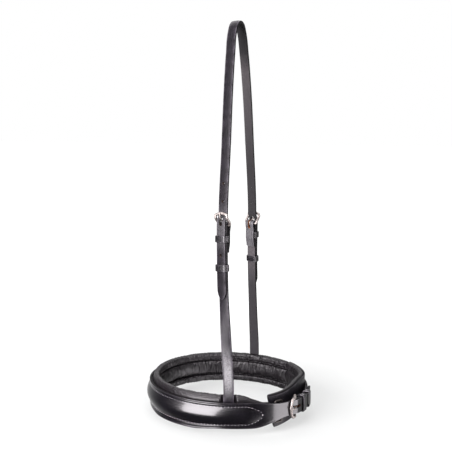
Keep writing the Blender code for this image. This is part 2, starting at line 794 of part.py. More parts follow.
def raise_half(degrees):
    """Half height of the raised part, which ends in a point."""
    share = min(1.0, max(0.0, from_raise_end(degrees) / RAISE_POINT_DEG))
    return RAISE_HALF_HEIGHT * math.sqrt(share)


def raised(degrees, height):
    """How far the front strap is raised at an angle and a height from its centre line."""
    half = raise_half(degrees)
    if abs(height) >= half or half <= 0.0:
        return 0.0
    inside = from_raise_end(degrees)
    fade = mix(RAISE_LOW_SHARE * min(1.0, inside / RAISE_POINT_DEG), 1.0,
               ramp(inside, RAISE_POINT_DEG, RAISE_POINT_DEG + RAISE_FADE_DEG))
    return RAISE_HEIGHT * fade * (1.0 - (height / half) ** 2)


def front_out(ring, degrees):
    """Outward place of the front strap's inner face, away from its raised part."""
    chin = GAP + CHIN_THICKNESS + LAP_GAP
    length = ring.length_at(degrees)
    pivot = ring.length_at(CHIN_PIVOT_DEG)
    near_bar = pivot - CHIN_BUCKLE_LENGTH
    dip = mix(FLAT_OUT, BILLET_DIP, ramp(length, near_bar - DIP_START, near_bar - DIP_END))
    over = mix(dip, chin, ramp(length, pivot - LIFT_START_SHARE * CHIN_BUCKLE_LENGTH,
                               pivot - LIFT_END_SHARE * CHIN_BUCKLE_LENGTH))
    off = ramp(degrees, OFF_END_DEG, CHIN_LAP_DEG - 360.0)
    return mix(over, chin, off)


def make_front_strap(ring, buckle):
    """Front strap: raised round the nose, then plain down to the near billet's tip."""
    tip = ring.length_at(BILLET_TIP_DEG)
    close = [ring.degrees_at(length) for length in tip_stations(tip)]
    dips = [ring.degrees_at(buckle.pivot - buckle.length * share) for share in CHIN_BEND_SHARES]
    extra = close + dips + [NEAR_END_DEG - 0.5 * RAISE_POINT_DEG, NEAR_END_DEG, OFF_END_DEG]
    angles = ring_angles(OFF_LAP_DEG, BILLET_TIP_DEG, extra)
    margin = RAISE_HALF_HEIGHT / FRONT_HALF_HEIGHT
    shares = [-1.0, *(margin * part for part in RAISE_COLUMN_SHARES), 1.0]

    def place(degrees, share):
        length = ring.length_at(degrees)
        height = share * front_half_height(degrees) * tip_share(tip - length)
        out = front_out(ring, degrees) + raised(degrees, height)
        return ring.spot(length).at(front_centre(degrees) + height, out)

    strap = sheet("nose_front_strap", angles, shares, place, FRONT_THICKNESS,
                  leather("nose_front_leather"), edge=0.0)
    strap.data.shade_smooth()
    low, high = buckle.slot()
    spots = [(chin_hole_spot(ring, buckle, 0.5 * (low + high)), high - low - 2.0 * HOLE_RADIUS)]
    for number in CHIN_HOLES:
        spots.append((chin_hole_spot(ring, buckle, high - HOLE_RADIUS + number * HOLE_PITCH), 0.0))
    cut(strap, hole_cutter("nose_front_strap_holes", spots,
                           2.0 * FRONT_THICKNESS + CUT_OVERRUN))
    return strap


def chin_hole_spot(ring, buckle, above):
    """Spot in the middle of the near billet's leather."""
    spot = ring.spot(buckle.pivot - above)
    degrees = ring.degrees_at(buckle.pivot - above)
    out = front_out(ring, degrees) + 0.5 * FRONT_THICKNESS
    return Spot(spot.at(front_centre(degrees), out), spot.width, spot.back)


def make_backing(ring):
    """Flat backing strap between the lining and the core."""
    angles = ring_angles(OFF_END_DEG, NEAR_END_DEG)

    def place(degrees, share):
        half = front_half_height(degrees) - BACKING_INSET
        return ring.spot_at(degrees).at(front_centre(degrees) + share * half, GAP)

    return sheet("nose_backing_strap", angles, (-1.0, 0.0, 1.0), place, BACKING_THICKNESS,
                 leather("nose_backing_leather"), edge=0.0)


def make_core(ring):
    """Core that raises the front strap: flat behind, crowned in front, pointed at its ends."""
    spare = GAP + CORE_EDGE
    start = OFF_END_DEG + CORE_END_SHARE * RAISE_POINT_DEG
    end = NEAR_END_DEG - CORE_END_SHARE * RAISE_POINT_DEG
    rings = []
    for degrees in ring_angles(start, end):
        crown = raised(degrees, 0.0)
        edge = raise_half(degrees) * math.sqrt(max(0.0, 1.0 - (spare + CORE_EDGE) / crown))
        spot = ring.spot_at(degrees)
        heights = [edge * share for share in RAISE_COLUMN_SHARES]
        section = [spot.at(front_centre(degrees) + height,
                           FLAT_OUT + raised(degrees, height) - spare)
                   for height in heights]
        section += [spot.at(front_centre(degrees) + height, FLAT_OUT)
                    for height in (edge, 0.0, -edge)]
        rings.append(section)
    return loft("raised_core", rings, finish_material("core_filler", CORE_COLOUR, CORE_ROUGHNESS))


def make_lining(ring):
    """Padded lining with three rolls, thinned at both ends and notched for the cheek straps."""
    rings = []
    for degrees in ring_angles(LINING_OFF_END_DEG, LINING_NEAR_END_DEG):
        near = ramp(degrees, LINING_NEAR_END_DEG - LINING_TAPER_DEG, LINING_NEAR_END_DEG)
        off = ramp(degrees, LINING_OFF_END_DEG + LINING_OFF_TAPER_DEG, LINING_OFF_END_DEG)
        height = LINING_HALF_HEIGHT * mix(1.0, LINING_END_HEIGHT_SHARE, near)
        thick = LINING_THICKNESS * mix(1.0, LINING_END_THICKNESS_SHARE, near)
        thick *= mix(1.0, LINING_OFF_THICKNESS_SHARE, off)
        spot = ring.spot_at(degrees)
        centre = front_centre(degrees) * near
        rings.append([spot.at(centre + z * height, n * thick) for n, z in LINING_SECTION_SHARES])
    lining = loft("nose_lining", rings,
                  finish_material("lining_leather", LINING_COLOUR, LINING_ROUGHNESS))
    half = 0.5 * STRAP_WIDTH + NOTCH_SIDE_GAP
    for degrees, word in ((NEAR_CHEEK_DEG, "near"), (OFF_CHEEK_DEG, "off")):
        spot = ring.spot_at(degrees)
        floor = -(TAB_GAP + STRAP_THICKNESS + GAP)
        notch = box_between("lining_notch_" + word, spot,
                            (-TAB_DROP - GAP, LINING_HALF_HEIGHT + CUT_OVERRUN),
                            (floor, CUT_OVERRUN), (-half, half))
        cut(lining, notch)
    return lining


def pad_stand(degrees, chin):
    """How far the chin pad stands in from the ring at an angle, to clear the folded strap."""
    inner = -chin.bar_out + chin.wire + BAR_PLAY + chin.strap + GAP
    return bulge(degrees) + mix(inner, 0.0, ramp(degrees, PAD_STAND_START_DEG, PAD_STAND_END_DEG))


def pad_slant(degrees, height):
    """How far the pad's near end is cut back at a height, more the lower it is."""
    share = ramp(degrees, PAD_NEAR_DEG + PAD_SLANT_SPAN_DEG, PAD_NEAR_DEG)
    return PAD_END_SLANT * share * height / PAD_HALF_HEIGHT


def pad_centre(degrees):
    """Height of the chin pad's centre line: its near end hangs lower."""
    return -PAD_DROOP * ramp(degrees, PAD_DROOP_START_DEG, PAD_NEAR_DEG)


def make_chin_pad(ring, chin):
    """Chin pad: a crowned cushion on a leather backing."""
    angles = ring_angles(PAD_NEAR_DEG, PAD_OFF_DEG)
    rings = []
    for degrees in angles:
        spot = ring.spot_at(degrees)
        face = -pad_stand(degrees, chin) - PAD_BACKING_THICKNESS - GAP
        end = mix(PAD_END_SHARE, 1.0, ramp(min(degrees - PAD_NEAR_DEG, PAD_OFF_DEG - degrees),
                                           0.0, STATION_DEG))
        rings.append([spot.at(pad_centre(degrees) + z * PAD_HALF_HEIGHT * end,
                              face + n * PAD_THICKNESS * end,
                              pad_slant(degrees, z * PAD_HALF_HEIGHT))
                      for n, z in PAD_SECTION_SHARES])
    loft("chin_pad", rings, finish_material("chin_pad_leather", LINING_COLOUR, LINING_ROUGHNESS))

    def place(degrees, share):
        out = -pad_stand(degrees, chin) - PAD_BACKING_THICKNESS
        height = share * (PAD_HALF_HEIGHT - BACKING_INSET)
        return ring.spot_at(degrees).at(pad_centre(degrees) + height, out,
                                        pad_slant(degrees, height))

    sheet("chin_pad_backing", angles, (-1.0, 0.0, 1.0), place, PAD_BACKING_THICKNESS,
          leather("chin_pad_backing_leather"), edge=0.0)


def make_chin(ring, chin):
    """Chin strap with its buckle and keepers."""
    end = ring.length_at(CHIN_LAP_DEG)
    angles = [degrees for degrees in ring_angles(CHIN_PIVOT_DEG, CHIN_LAP_DEG)
              if degrees > CHIN_PIVOT_DEG + 0.5 * STATION_DEG]
    main = [ring.length_at(degrees) for degrees in angles]
    main[-1] = end
    keeper_end = CHIN_KEEPER_SET + 0.5 * CHIN_KEEPER_WIDTH
    folded_strap("chin_strap", chin, BILLET_HALF_HEIGHT, main, CHIN_TURN_BACK, keeper_end,
                 leather("chin_strap_leather"))
    make_frame("chin_buckle_frame", chin)
    make_tongue("chin_buckle_tongue", chin)
    half = BILLET_HALF_HEIGHT + CHIN_KEEPER_ROOM
    high = chin.lift_high + FRONT_THICKNESS + CHIN_KEEPER_ROOM
    for part, set_back in (("fixed_keeper", CHIN_KEEPER_SET), ("runner_keeper", CHIN_RUNNER_SET)):
        low = chin.base - (KEEPER_GAP if part == "fixed_keeper" else CHIN_KEEPER_ROOM)
        name = "chin_" + part
        keeper(name, chin.route.spot(chin.pivot + set_back), half, low, high, CHIN_KEEPER_WIDTH,
               leather(name + "_leather"))


class ChinRoute:
    """The ring's route, carried at the height of the chin strap."""

    def __init__(self, ring):
        self.ring = ring

    def spot(self, length):
        """Spot at a length along the ring, on the chin strap's centre line."""
        spot = self.ring.spot(length)
        return Spot(spot.at(-BILLET_DROP, 0.0), spot.width, spot.back)


def make_end_loop(ring, chin):
    """Metal loop at the pad's near end, held by a folded tab on the pad's backing."""
    face = -pad_stand(LOOP_BAR_DEG, chin)
    turn = LOOP_WIRE + LOOP_PLAY
    bar_out = face + GAP + TAB_LEATHER + turn
    bar = ring.length_at(LOOP_BAR_DEG)
    droop = pad_centre(LOOP_BAR_DEG)

    def place(across, before, out):
        return ring.spot(bar - before).at(droop + across, out)

    outline = [(0.0, 0.0), (LOOP_BAR_SHARE * LOOP_HALF_HEIGHT, 0.0)]
    for low, start in ((0.0, -90.0), (LOOP_LENGTH, 0.0)):
        centre = low + LOOP_CORNER if low == 0.0 else low - LOOP_CORNER
        for degrees in np.linspace(start, start + 90.0, ARC_STEPS):
            outline.append((LOOP_HALF_HEIGHT - LOOP_CORNER
                            + LOOP_CORNER * math.cos(math.radians(degrees)),
                            centre + LOOP_CORNER * math.sin(math.radians(degrees))))
    outline += [(0.0, LOOP_LENGTH)]
    outline += [(-across, before) for across, before in reversed(outline[1:-1])]
    points = [place(across, before, bar_out) for across, before in outline]
    tube("pad_end_loop", points, LOOP_WIRE, steel("pad_end_loop_steel"),
         place(0.0, 0.0, bar_out), closed=True)

    stations = []
    for share in np.linspace(1.0, 0.0, ARC_STEPS):
        stations.append((-TAB_LENGTH * share, bar_out - turn))
    for degrees in np.linspace(-90.0, 90.0, FOLD_STEPS)[1:]:
        stations.append((turn * math.cos(math.radians(degrees)),
                         bar_out + turn * math.sin(math.radians(degrees))))
    for share in np.linspace(0.0, 1.0, ARC_STEPS)[1:]:
        closing = ramp(share, 0.0, TAB_CLOSE_SHARE)
        stations.append((-TAB_LENGTH * share, mix(bar_out + turn, bar_out - turn + GAP, closing)))

    def tab_place(station, share):
        return place(share * TAB_HALF_HEIGHT, station[0], station[1])

    sheet("pad_end_tab", stations, (-1.0, 1.0), tab_place, TAB_LEATHER,
          leather("pad_end_tab_leather"), edge=0.0)


PIECES, CUTTERS = clear_scene()


def main():
    """Build every piece."""
    ring = RingRoute()
    near_route = SideRoute(ring, -1, NEAR_PATH_SHARES, NEAR_TWIST_SPAN_SHARES)
    off_route = SideRoute(ring, 1, OFF_PATH_SHARES, OFF_TWIST_SPAN_SHARES)
    near = Buckle(near_route, NEAR_PIVOT_DROP, 0.0, STRAP_THICKNESS, STRAP_WIDTH, CHEEK_WIRE,
                  CHEEK_BUCKLE_LENGTH, CHEEK_SIDE_ROOM, CHEEK_TONGUE_WIRE, STRAP_THICKNESS, 0.0)
    off = Buckle(off_route, OFF_PIVOT_DROP, 0.0, STRAP_THICKNESS, STRAP_WIDTH, CHEEK_WIRE,
                 CHEEK_BUCKLE_LENGTH, CHEEK_SIDE_ROOM, CHEEK_TONGUE_WIRE, STRAP_THICKNESS, 0.0)
    chin = Buckle(ChinRoute(ring), ring.length_at(CHIN_PIVOT_DEG), GAP, CHIN_THICKNESS,
                  2.0 * BILLET_HALF_HEIGHT, CHIN_WIRE, CHIN_BUCKLE_LENGTH, CHIN_SIDE_ROOM,
                  CHIN_TONGUE_WIRE, FRONT_THICKNESS, BILLET_DIP)
    make_head_strap(near, off)
    make_side("near", near)
    make_side("off", off)
    make_lining(ring)
    make_backing(ring)
    make_core(ring)
    make_front_strap(ring, chin)
    make_chin_pad(ring, chin)
    make_chin(ring, chin)
    make_end_loop(ring, chin)


main()
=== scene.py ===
"""Looks of a padded, raised English noseband that hangs on its head strap.

Leather is cut flat, with x along the strap, y across it and z out through its grain side,
then punched, edged and stitched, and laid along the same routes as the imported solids.
+Z is up, -X is the horse's nose, +X its chin and -Y the near side. Lengths are in metres.
"""

import logging
import math
from dataclasses import dataclass, field
from enum import Enum
from typing import Callable, Iterable, Sequence

import bpy
import numpy as np
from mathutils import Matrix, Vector


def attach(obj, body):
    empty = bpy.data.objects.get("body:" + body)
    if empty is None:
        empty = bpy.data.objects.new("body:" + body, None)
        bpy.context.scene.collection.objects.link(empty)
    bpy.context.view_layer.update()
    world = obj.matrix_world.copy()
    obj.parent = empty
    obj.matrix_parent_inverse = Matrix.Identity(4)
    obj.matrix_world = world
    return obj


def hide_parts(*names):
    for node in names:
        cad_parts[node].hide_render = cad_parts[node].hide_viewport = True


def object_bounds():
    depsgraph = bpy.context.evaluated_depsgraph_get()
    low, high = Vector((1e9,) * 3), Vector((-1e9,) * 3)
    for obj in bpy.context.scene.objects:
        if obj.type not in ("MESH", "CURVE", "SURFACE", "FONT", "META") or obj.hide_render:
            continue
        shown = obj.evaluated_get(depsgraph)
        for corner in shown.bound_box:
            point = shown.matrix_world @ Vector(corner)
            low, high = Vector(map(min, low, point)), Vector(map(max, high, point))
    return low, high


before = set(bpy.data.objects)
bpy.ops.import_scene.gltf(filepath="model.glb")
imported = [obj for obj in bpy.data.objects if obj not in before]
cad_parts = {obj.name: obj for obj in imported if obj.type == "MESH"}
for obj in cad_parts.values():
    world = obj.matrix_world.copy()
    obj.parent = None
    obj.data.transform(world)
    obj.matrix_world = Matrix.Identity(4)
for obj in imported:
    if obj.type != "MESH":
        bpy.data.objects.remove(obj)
CAD_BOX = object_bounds()
LOG = logging.getLogger("noseband")
Array = np.ndarray
Place = Callable[[Array, Array, Array], Array]
Piece = bpy.types.Object
Material = bpy.types.Material

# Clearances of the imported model
GAP = 0.0003
LAP_GAP = 0.00042
BAR_PLAY = 0.0003
TONGUE_PLAY = 0.0003
KEEPER_GAP = 0.00045

# Heights of the layers that lie on the ring
CHIN_THICKNESS = 0.0025
FRONT_THICKNESS = 0.0024
BACKING_THICKNESS = 0.002
BILLET_DIP = 0.0013
BILLET_DROP = 0.001
BILLET_HALF_HEIGHT = 0.00875
STRAP_WIDTH = 0.0125
STRAP_THICKNESS = 0.0028
KEEPER_LEATHER = 0.0012
TAB_RISE = 0.022
TAB_DROP = 0.015
CHIN_PIVOT_DEG = -26.5

# Ends of the rise of a billet over its buckle, as shares of the frame's length
LIFT_START, LIFT_END = 0.90, 0.22

# Points of the tongue's loop round the bar, and how far frame and tongue lift together
TONGUE_TURN = 16
FULL_LIFT_DEG = 13.0

# Holes of the billets
HOLE_RADIUS = 0.0021
HOLE_PITCH = 0.021

# Angles at which the raised front and its backing end, the cheek straps are sewn in and the
# chin strap ends under the front
RAISED_NEAR_DEG, RAISED_OFF_DEG = -57.0, -303.0
NEAR_SEAT_DEG, OFF_SEAT_DEG = -80.3, 78.6
CHIN_LAP_DEG = 54.0

# Distance between the gathers' largest folds and between their smallest
LONGEST_FOLD, SHORTEST_FOLD = 0.0105, 0.0056

MILLIMETRE = 0.001
PER_MILLIMETRE = (1000.0, 1000.0, 1000.0)


def ramp(value: Array | float, start: float, end: float) -> Array:
    """Smooth rise from 0 to 1.

    Args:
        value: Where the rise is read.
        start: Value at which it is 0; it may lie above end.
        end: Value at which it is 1.

    Returns:
        Share from 0 to 1, of the value's own shape.
    """
    share = np.clip((np.asarray(value, float) - start) / (end - start), 0.0, 1.0)
    return share * share * (3.0 - 2.0 * share)


def mix(low: Array | float, high: Array | float, share: Array | float) -> Array | float:
    """Value between low and high."""
    return low + (high - low) * share


def unit(rows: Array) -> Array:
    """Rows of vectors, each made one long."""
    return rows / np.linalg.norm(rows, axis=-1, keepdims=True)


def smooth_line(places: Sequence[Sequence[float]], steps: int, straight_end: bool = False) -> Array:
    """Close points along a smooth curve.

    Args:
        places: Points that the curve goes through.
        steps: Number of points for each span.
        straight_end: Whether the last span runs straight.

    Returns:
        Rows of points.
    """
    points = np.array(places, float)
    knots = np.concatenate([[0.0], np.cumsum(np.linalg.norm(np.diff(points, axis=0), axis=1))])
    slopes = np.gradient(points, knots, axis=0)
    if straight_end:
        slopes[-2:] = (points[-1] - points[-2]) / (knots[-1] - knots[-2])
    line = []
    for index in range(len(points) - 1):
        span = knots[index + 1] - knots[index]
        for share in np.linspace(0.0, 1.0, steps, endpoint=False):
            square, cube = share ** 2, share ** 3
            line.append((2 * cube - 3 * square + 1) * points[index]
                        + (cube - 2 * square + share) * span * slopes[index]
                        + (3 * square - 2 * cube) * points[index + 1]
                        + (cube - square) * span * slopes[index + 1])
    line.append(points[-1])
    return np.array(line)


def running_length(points: Array) -> Array:
    """Length along a row of points, from 0 at the first."""
    steps = np.linalg.norm(np.diff(points, axis=0), axis=1)
    return np.concatenate([[0.0], np.cumsum(steps)])


def read_line(at: Array, lengths: Array, rows: Array) -> Array:
    """Rows of a line at lengths along it."""
    return np.stack([np.interp(at, lengths, column) for column in rows.T], axis=1)


def closed_heading(points: Array) -> Array:
    """Direction of a closed line at each of its points."""
    return unit(np.roll(points, -1, axis=0) - np.roll(points, 1, axis=0))


def rounded_end(distance: Array, radius: float, least: float = 0.0) -> Array:
    """Share of the full size at a distance from a rounded end."""
    short = 1.0 - np.clip(distance / radius, 0.0, 1.0)
    return np.sqrt(np.clip(1.0 - short ** 2, least, 1.0))


def arc(centre: Sequence[float], radius: float, start: float, end: float, count: int
        ) -> list[tuple[float, float]]:
    """Places along an arc between two angles in degrees."""
    return [(centre[0] + radius * math.cos(turn), centre[1] + radius * math.sin(turn))
            for turn in np.radians(np.linspace(start, end, count))]


def spaced(points: Array, count: int, closed: bool = False) -> Array:
    """Points at equal distances along a line.

    Args:
        points: Rows of points of the line.
        count: How many points to return.
        closed: Whether the line returns to its start, which is then not repeated.

    Returns:
        Rows of evenly spaced points.
    """
    line = np.vstack([points, points[:1]]) if closed else points
    lengths = running_length(line)
    return read_line(np.linspace(0.0, lengths[-1], count, endpoint=not closed), lengths, line)


def closed_curve(places: Sequence[Sequence[float]], count: int) -> Array:
    """Smooth closed outline through the given places, evenly divided."""
    points = list(places)
    spare = 3
    line = smooth_line(points[-spare:] + points + points[:spare + 1], 8)
    return spaced(line[8 * spare:8 * (spare + len(points))], count, closed=True)


@dataclass(frozen=True)
class Frames:
    """Points of a route with the directions across, backwards and outwards at each."""

    point: Array
    width: Array
    back: Array
    out: Array

    @staticmethod
    def of(point: Array, width: Array, back: Array) -> "Frames":
        """Frames whose width is squared to the route's own direction."""
        back = unit(back)
        across = unit(width - back * np.sum(width * back, axis=1, keepdims=True))
        return Frames(point, across, back, np.cross(across, back))

    def at(self, across: Array | float, out: Array | float, along: Array | float = 0.0) -> Array:
        """Places at distances across, outwards and backwards from the points, or from one."""
        across, out, along = (np.atleast_1d(value)[:, None] for value in (across, out, along))
        return self.point + self.width * across + self.out * out + self.back * along


@dataclass
class RingRoute:
    """Level oval that the noseband follows; 0 degrees is at the chin, -180 at the nose."""

    half_length: float = 0.099
    half_width: float = 0.084
    drop: float = 0.461
    setback: float = 0.0098
    bow: float = 0.0048
    bow_middle_deg: float = -32.0
    bow_half_span_deg: float = 46.0

    def __post_init__(self) -> None:
        """Tabulate the length along the oval."""
        self.degrees = np.linspace(-350.0, 90.0, 1761)
        self.lengths = running_length(self.flat(self.degrees))

    def bulge(self, degrees: Array | float) -> Array:
        """How far the folded buckle end bows the oval out."""
        share = np.minimum(
            1.0, np.abs(np.asarray(degrees) - self.bow_middle_deg) / self.bow_half_span_deg)
        return self.bow * np.cos(0.5 * np.pi * share) ** 2

    def flat(self, degrees: Array) -> Array:
        """Points of the oval about its own centre."""
        angle = np.radians(degrees)
        share = 1.0 + self.bulge(degrees) / self.half_length
        return np.stack([self.half_length * share * np.cos(angle),
                         self.half_width * share * np.sin(angle), 0.0 * angle], axis=1)

    def length_at(self, degrees: Array | float) -> Array | float:
        """Length along the oval at an angle."""
        return np.interp(degrees, self.degrees, self.lengths)

    def degrees_at(self, length: Array | float) -> Array | float:
        """Angle at a length along the oval."""
        return np.interp(length, self.lengths, self.degrees)

    def stations(self, start_deg: float, end_deg: float, step: float) -> Array:
        """Even lengths from one angle to another."""
        start, end = self.length_at(start_deg), self.length_at(end_deg)
        return np.linspace(start, end, round((end - start) / step) + 1)

    def frames(self, length: Array) -> Frames:
        """Frames at lengths; width is up and back runs towards the near side."""
        degrees = self.degrees_at(np.asarray(length, float))
        centre = np.array([-self.setback, 0.0, -self.drop])
        ahead = self.flat(degrees + 0.25) - self.flat(degrees - 0.25)
        width = np.tile([0.0, 0.0, 1.0], (len(degrees), 1))
        return Frames.of(centre + self.flat(degrees), width, -ahead)

    def frames_at(self, degrees: Array | float) -> Frames:
        """Frames at angles."""
        return self.frames(self.length_at(np.atleast_1d(degrees)))


@dataclass
class ChinRoute:
    """The ring's route at the height of the chin strap."""

    ring: RingRoute

    def frames(self, length: Array) -> Frames:
        """Frames on the chin strap's centre line."""
        made = self.ring.frames(length)
        return Frames(made.at(-BILLET_DROP, 0.0), made.width, made.back, made.out)


class Side(Enum):
    """The two sides of the horse, by the sign of Y."""

    NEAR = -1
    OFF = 1

    @property
    def word(self) -> str:
        """The side's name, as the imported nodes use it."""
        return self.name.lower()


@dataclass
class SideRoute:
    """Route of one side's strap, from the poll down into the noseband."""

    ring: RingRoute
    side: Side
    seat_deg: float
    shares: Sequence[Sequence[float]]
    twist_shares: Sequence[float]
    twist_deg: float = -27.0
    tab_gap: float = 0.0004

    def __post_init__(self) -> None:
        """Tabulate the route's points and its lengths below the poll."""
        seat = self.ring.frames_at(self.seat_deg)
        back = seat.back[0] * self.side.value
        self.seat_turn = math.atan2(back[1], back[0])
        scale = np.array([self.ring.half_length, self.ring.half_width, -self.ring.drop])
        places = [tuple(np.array(share) * scale) for share in self.shares]
        start = (-places[0][0], -places[0][1], places[0][2])
        foot = seat.at(0.0, -(self.tab_gap + STRAP_THICKNESS))[0]
        ends = [(foot[0], foot[1], foot[2] + rise) for rise in (TAB_RISE, -TAB_DROP)]
        self.points = smooth_line([start, (0.0, 0.0, 0.0), *places, *ends], 24, straight_end=True)
        self.lengths = running_length(self.points)
        self.lengths -= self.lengths[int(np.argmin(np.linalg.norm(self.points, axis=1)))]
        self.total = float(self.lengths[-1])

    def point(self, length: Array) -> Array:
        """Points at lengths below the poll."""
        return read_line(length, self.lengths, self.points)

    def frames(self, length: Array) -> Frames:
        """Frames at lengths below the poll; back runs up the strap."""
        length = np.asarray(length, float)
        reach = 0.00125
        low = np.minimum(length + reach, self.total)
        back = self.point(low - 2.0 * reach) - self.point(low)
        span = [share * self.total for share in self.twist_shares]
        angle = mix(math.radians(self.twist_deg), self.seat_turn, ramp(length, *span))
        width = np.stack([np.cos(angle), np.sin(angle), 0.0 * angle], axis=1) * -self.side.value
        return Frames.of(self.point(length), width, back)


@dataclass
class Buckle:
    """Sizes and places of one buckle on its folded strap."""

    route: SideRoute | ChinRoute
    pivot: float
    base: float
    strap: float
    width: float
    wire: float
    length: float
    side_room: float
    tongue_wire: float
    billet: float
    lift_low: float
    rise_share: float = 0.72

    def __post_init__(self) -> None:
        """Work out the heights of the bar, the front bar and the tongue."""
        self.half_width = 0.5 * self.width + self.side_room + self.wire
        self.lift_high = self.base + self.strap + LAP_GAP
        self.bar_out = self.base - BAR_PLAY - self.wire
        front = float(self.lift(self.rise_share * self.length))
        self.front_out = front + self.billet + GAP + self.wire
        self.tongue_out = self.front_out + self.wire + TONGUE_PLAY + self.tongue_wire
        self.loop_radius = self.wire + TONGUE_PLAY + self.tongue_wire

    def lift(self, above: Array | float) -> Array:
        """Height of the billet's inner face at a distance above the pivot."""
        return mix(self.lift_low, self.lift_high,
                   ramp(above, LIFT_START * self.length, LIFT_END * self.length))

    def place(self, across: Array, above: Array, out: Array) -> Array:
        """Places in the world from the buckle's own distances."""
        return self.route.frames(self.pivot - np.asarray(above, float)).at(across, out)

    def tongue_line(self) -> Array:
        """Tongue's centre line as distances above the pivot and outwards."""
        line = arc((0.0, self.bar_out), self.loop_radius, 380.0, 125.0, TONGUE_TURN)
        start = line[-1]
        rise = self.tongue_out - start[1]
        for run, share in ((0.34, 0.24), (0.56, 0.64), (0.70, 0.85), (0.84, 0.96)):
            line.append((mix(start[0], self.length, run), start[1] + rise * share))
        line += [(self.length, self.tongue_out), (1.11 * self.length, self.tongue_out)]
        return np.array(line)

    def slot(self) -> tuple[float, float]:
        """Ends, above the pivot, of the slot that clears the tongue, at rest and fully lifted."""
        spare = self.tongue_wire + 0.0006
        reached = []
        line = spaced(self.tongue_line()[TONGUE_TURN - 1:], 90)
        for degrees in (0.0, FULL_LIFT_DEG):
            cos, sin = math.cos(math.radians(degrees)), math.sin(math.radians(degrees))
            above = line[:, 0] * cos - (line[:, 1] - self.bar_out) * sin
            height = self.bar_out + line[:, 0] * sin + (line[:, 1] - self.bar_out) * cos
            inner = self.lift(above)
            inside = (height > inner - spare) & (height < inner + self.billet + spare)
            reached += list(above[inside])
        return min(reached) - spare, max(reached) + 0.5 * spare


# Modelling ------------------------------------------------------------------------------------


def select_only(piece: Piece) -> None:
    """Make a piece the only selected and the active one."""
    bpy.ops.object.select_all(action="DESELECT")
    piece.select_set(True)
    bpy.context.view_layer.objects.active = piece


def primitive(kind: Callable[..., set], name: str, **sizes: object) -> Piece:
    """Add a mesh primitive with nothing else selected.

    Args:
        kind: The operator that adds it.
        name: Name of the new piece.
        **sizes: The operator's own settings.

    Returns:
        The new piece.
    """
    bpy.ops.object.select_all(action="DESELECT")
    kind(**sizes)
    piece = bpy.context.object
    piece.name = name
    piece.data.name = name
    return piece


def in_edit_mode(piece: Piece, *steps: Callable[[], object]) -> None:
    """Run edit-mode operators on all of a piece.

    Args:
        piece: The piece to edit.
        *steps: Calls to run, in order, with everything selected.
    """
    select_only(piece)
    bpy.ops.object.mode_set(mode="EDIT")
    for step in steps:
        bpy.ops.mesh.select_all(action="SELECT")
        step()
    bpy.ops.object.mode_set(mode="OBJECT")


def add_modifier(piece: Piece, kind: str, **settings: object) -> None:
    """Add a modifier and apply it.

    Args:
        piece: The piece that takes it.
        kind: Modifier type.
        **settings: Its settings.
    """
    select_only(piece)
    modifier = piece.modifiers.new(kind.lower(), kind)
    for key, value in settings.items():
        setattr(modifier, key, value)
    bpy.ops.object.modifier_apply(modifier=modifier.name)


def coordinates(piece: Piece) -> Array:
    """A piece's points as rows."""
    flat = np.empty(3 * len(piece.data.vertices))
    piece.data.vertices.foreach_get("co", flat)
    return flat.reshape(-1, 3)


def set_coordinates(piece: Piece, places: Array) -> None:
    """Move a piece's points to rows of places."""
    piece.data.vertices.foreach_set("co", np.ascontiguousarray(places, float).ravel())
    piece.data.update()


def write_pattern(piece: Piece, places: Array) -> None:
    """Give a piece a UV map in metres.

    Args:
        piece: The piece, in its final topology.
        places: Rows of two lengths, one for each point.
    """
    layer = piece.data.uv_layers.get("UVMap") or piece.data.uv_layers.new(name="UVMap")
    corners = np.empty(len(piece.data.loops), int)
    piece.data.loops.foreach_get("vertex_index", corners)
    layer.data.foreach_set("uv", places[corners].ravel())


def write_attribute(piece: Piece, name: str, values: Array) -> None:
    """Store one number for each point of a piece."""
    layer = piece.data.attributes.new(name, "FLOAT", "POINT")
    layer.data.foreach_set("value", np.asarray(values, float))


def smooth(piece: Piece, degrees: float = 40.0) -> None:
    """Shade a piece smoothly, but for edges sharper than an angle."""
    select_only(piece)
    bpy.ops.object.shade_smooth_by_angle(angle=math.radians(degrees))


def loop_solid(name: str, centres: Array, across: Array, up: Array, section: Array) -> Piece:
    """Closed loop of one section, shaped from a torus.

    Args:
        name: Name of the piece.
        centres: Rows of points round the loop.
        across: Direction of a section's first distance at each centre.
        up: Direction of its second distance.
        section: Rows of the two distances, the same all round or one set for each centre.

    Returns:
        The piece, with its faces outwards.
    """
    count, sides = len(centres), section.shape[-2]
    section = np.broadcast_to(section, (count, sides, 2))
    piece = primitive(
        bpy.ops.mesh.primitive_torus_add, name, major_segments=count, minor_segments=sides)
    places = (centres[:, None, :] + across[:, None, :] * section[..., :1]
              + up[:, None, :] * section[..., 1:])
    set_coordinates(piece, places.reshape(-1, 3))
    in_edit_mode(piece, lambda: bpy.ops.mesh.normals_make_consistent(inside=False))
    smooth(piece)
    return piece


def wire_loop(name: str, centres: Array, outward: Array, section: Array) -> Piece:
    """Closed loop of wire along its centres, squared to the directions outwards."""
    along = closed_heading(centres)
    side = unit(np.cross(along, outward))
    return loop_solid(name, centres, side, np.cross(side, along), section)


